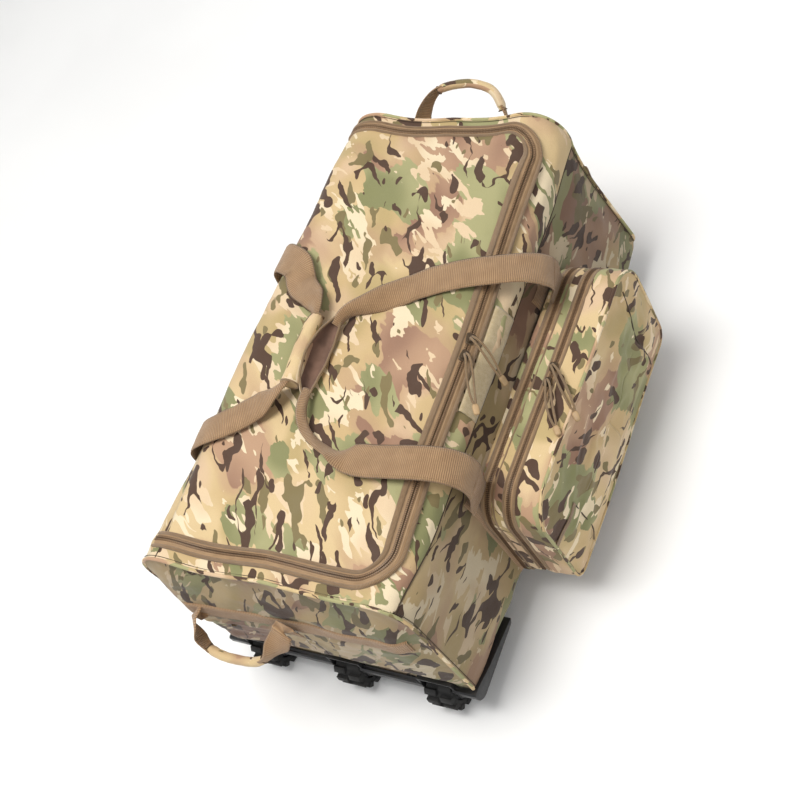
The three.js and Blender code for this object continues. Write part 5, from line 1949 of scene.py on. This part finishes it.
SOLIDS = [
    # nodes, material, bevel in mm, bevel segments
    ("outer_tube_near outer_tube_far mid_tube_near mid_tube_far", "aluminium", 1.2, 2),
    ("inner_tube_near inner_tube_far", "aluminium", 1.2, 2),
    ("wheel_axle", "steel", 0.4, 2),
    ("skid_rail_near skid_rail_far", "black", 2.0, 3),
    ("handle_cup", "black", 1.2, 3),
    ("pull_grip", "black_gloss", 3.0, 4),
    ("release_button", "black", 0.8, 2),
    ("trolley_cover", "lining", 2.0, 2),
    ("base_board", "board", 1.0, 2),
    ("wheel_hub_near wheel_hub_middle wheel_hub_far", "black", 0.6, 2),
    ("tyre_near tyre_middle tyre_far", "rubber", 1.2, 3),
    ("wheel_frame", "black", 1.6, 3),
]
for nodes, mat, bevel, segments in SOLIDS:
    for node in nodes.split():
        dress(node, mat, bevel, segments)

# ------------------------------------------------------------------ studio, in metres
FLOOR_Z = -0.0482
FLOOR_HALF = 6.0
SWEEP_START_Y, SWEEP_RADIUS, WALL_TOP = 2.4, 1.6, 5.0


def build_floor():
    """A floor that curves up into a wall on the far side."""
    outline = [(-FLOOR_HALF, 0.0)]
    for angle in np.linspace(0, QUARTER, 16):
        y = SWEEP_START_Y + SWEEP_RADIUS * math.sin(angle)
        outline.append((y, SWEEP_RADIUS - SWEEP_RADIUS * math.cos(angle)))
    outline.append((SWEEP_START_Y + SWEEP_RADIUS, WALL_TOP))
    verts = [(x, y, FLOOR_Z + z) for y, z in outline for x in (-FLOOR_HALF, FLOOR_HALF)]
    faces = [(2 * i, 2 * i + 1, 2 * i + 3, 2 * i + 2) for i in range(len(outline) - 1)]
    mesh = bpy.data.meshes.new("studio_floor")
    mesh.from_pydata(verts, [], faces)
    mesh.polygons.foreach_set("use_smooth", [True] * len(mesh.polygons))
    floor = link(mesh, "studio_floor")
    m = Shader("studio_floor")
    tone = m.ramp(m.noise(m.object_coords(), scale=3.0))
    m.finish(m.mix(tone, (0.90, 0.90, 0.895, 1), (0.93, 0.93, 0.925, 1)), rough=0.7)
    floor.data.materials.append(MATERIALS["studio_floor"])


build_floor()

world = bpy.data.worlds.new("studio")
bpy.context.scene.world = world
world.use_nodes = True
background = world.node_tree.nodes["Background"]
background.inputs["Color"].default_value = (1.0, 1.0, 1.0, 1)
background.inputs["Strength"].default_value = 0.47


def area_light(name, location, target, size, power, color=(1, 1, 1)):
    light = bpy.data.lights.new(name, "AREA")
    light.energy = power
    light.size = size
    light.color = color
    ob = bpy.data.objects.new(name, light)
    bpy.context.scene.collection.objects.link(ob)
    ob.location = location
    aim = Vector(target) - Vector(location)
    ob.rotation_euler = aim.to_track_quat("-Z", "Y").to_euler()


area_light("key", (-0.5, 0.3, 3.0), (0, 0, 0.15), size=1.4, power=77, color=(1.0, 0.99, 0.97))
area_light("fill", (-1.6, -2.2, 1.6), (0, 0, 0.15), size=2.2, power=12, color=(0.98, 0.99, 1.0))
area_light("rim", (2.4, 0.4, 1.7), (0, 0, 0.2), size=1.4, power=8)

bpy.context.scene.view_settings.view_transform = "Standard"

CAMERA_AT = (-0.83976, -1.09258, 1.66520)
CAMERA_RIGHT = (0.352242546, -0.839560956, -0.413597134)
CAMERA_UP = (0.845390128, 0.095815704, 0.525485378)
CAMERA_BACK = (-0.401547906, -0.534749242, 0.743506912)
lens = bpy.data.cameras.new("camera")
lens.lens = 63.0
lens.sensor_width = 36.0
lens.clip_start = 0.05
lens.clip_end = 50
camera = bpy.data.objects.new("camera", lens)
bpy.context.scene.collection.objects.link(camera)
turn = Matrix((CAMERA_RIGHT, CAMERA_UP, CAMERA_BACK)).transposed()
camera.matrix_world = Matrix.Translation(CAMERA_AT) @ turn.to_4x4()
bpy.context.scene.camera = camera
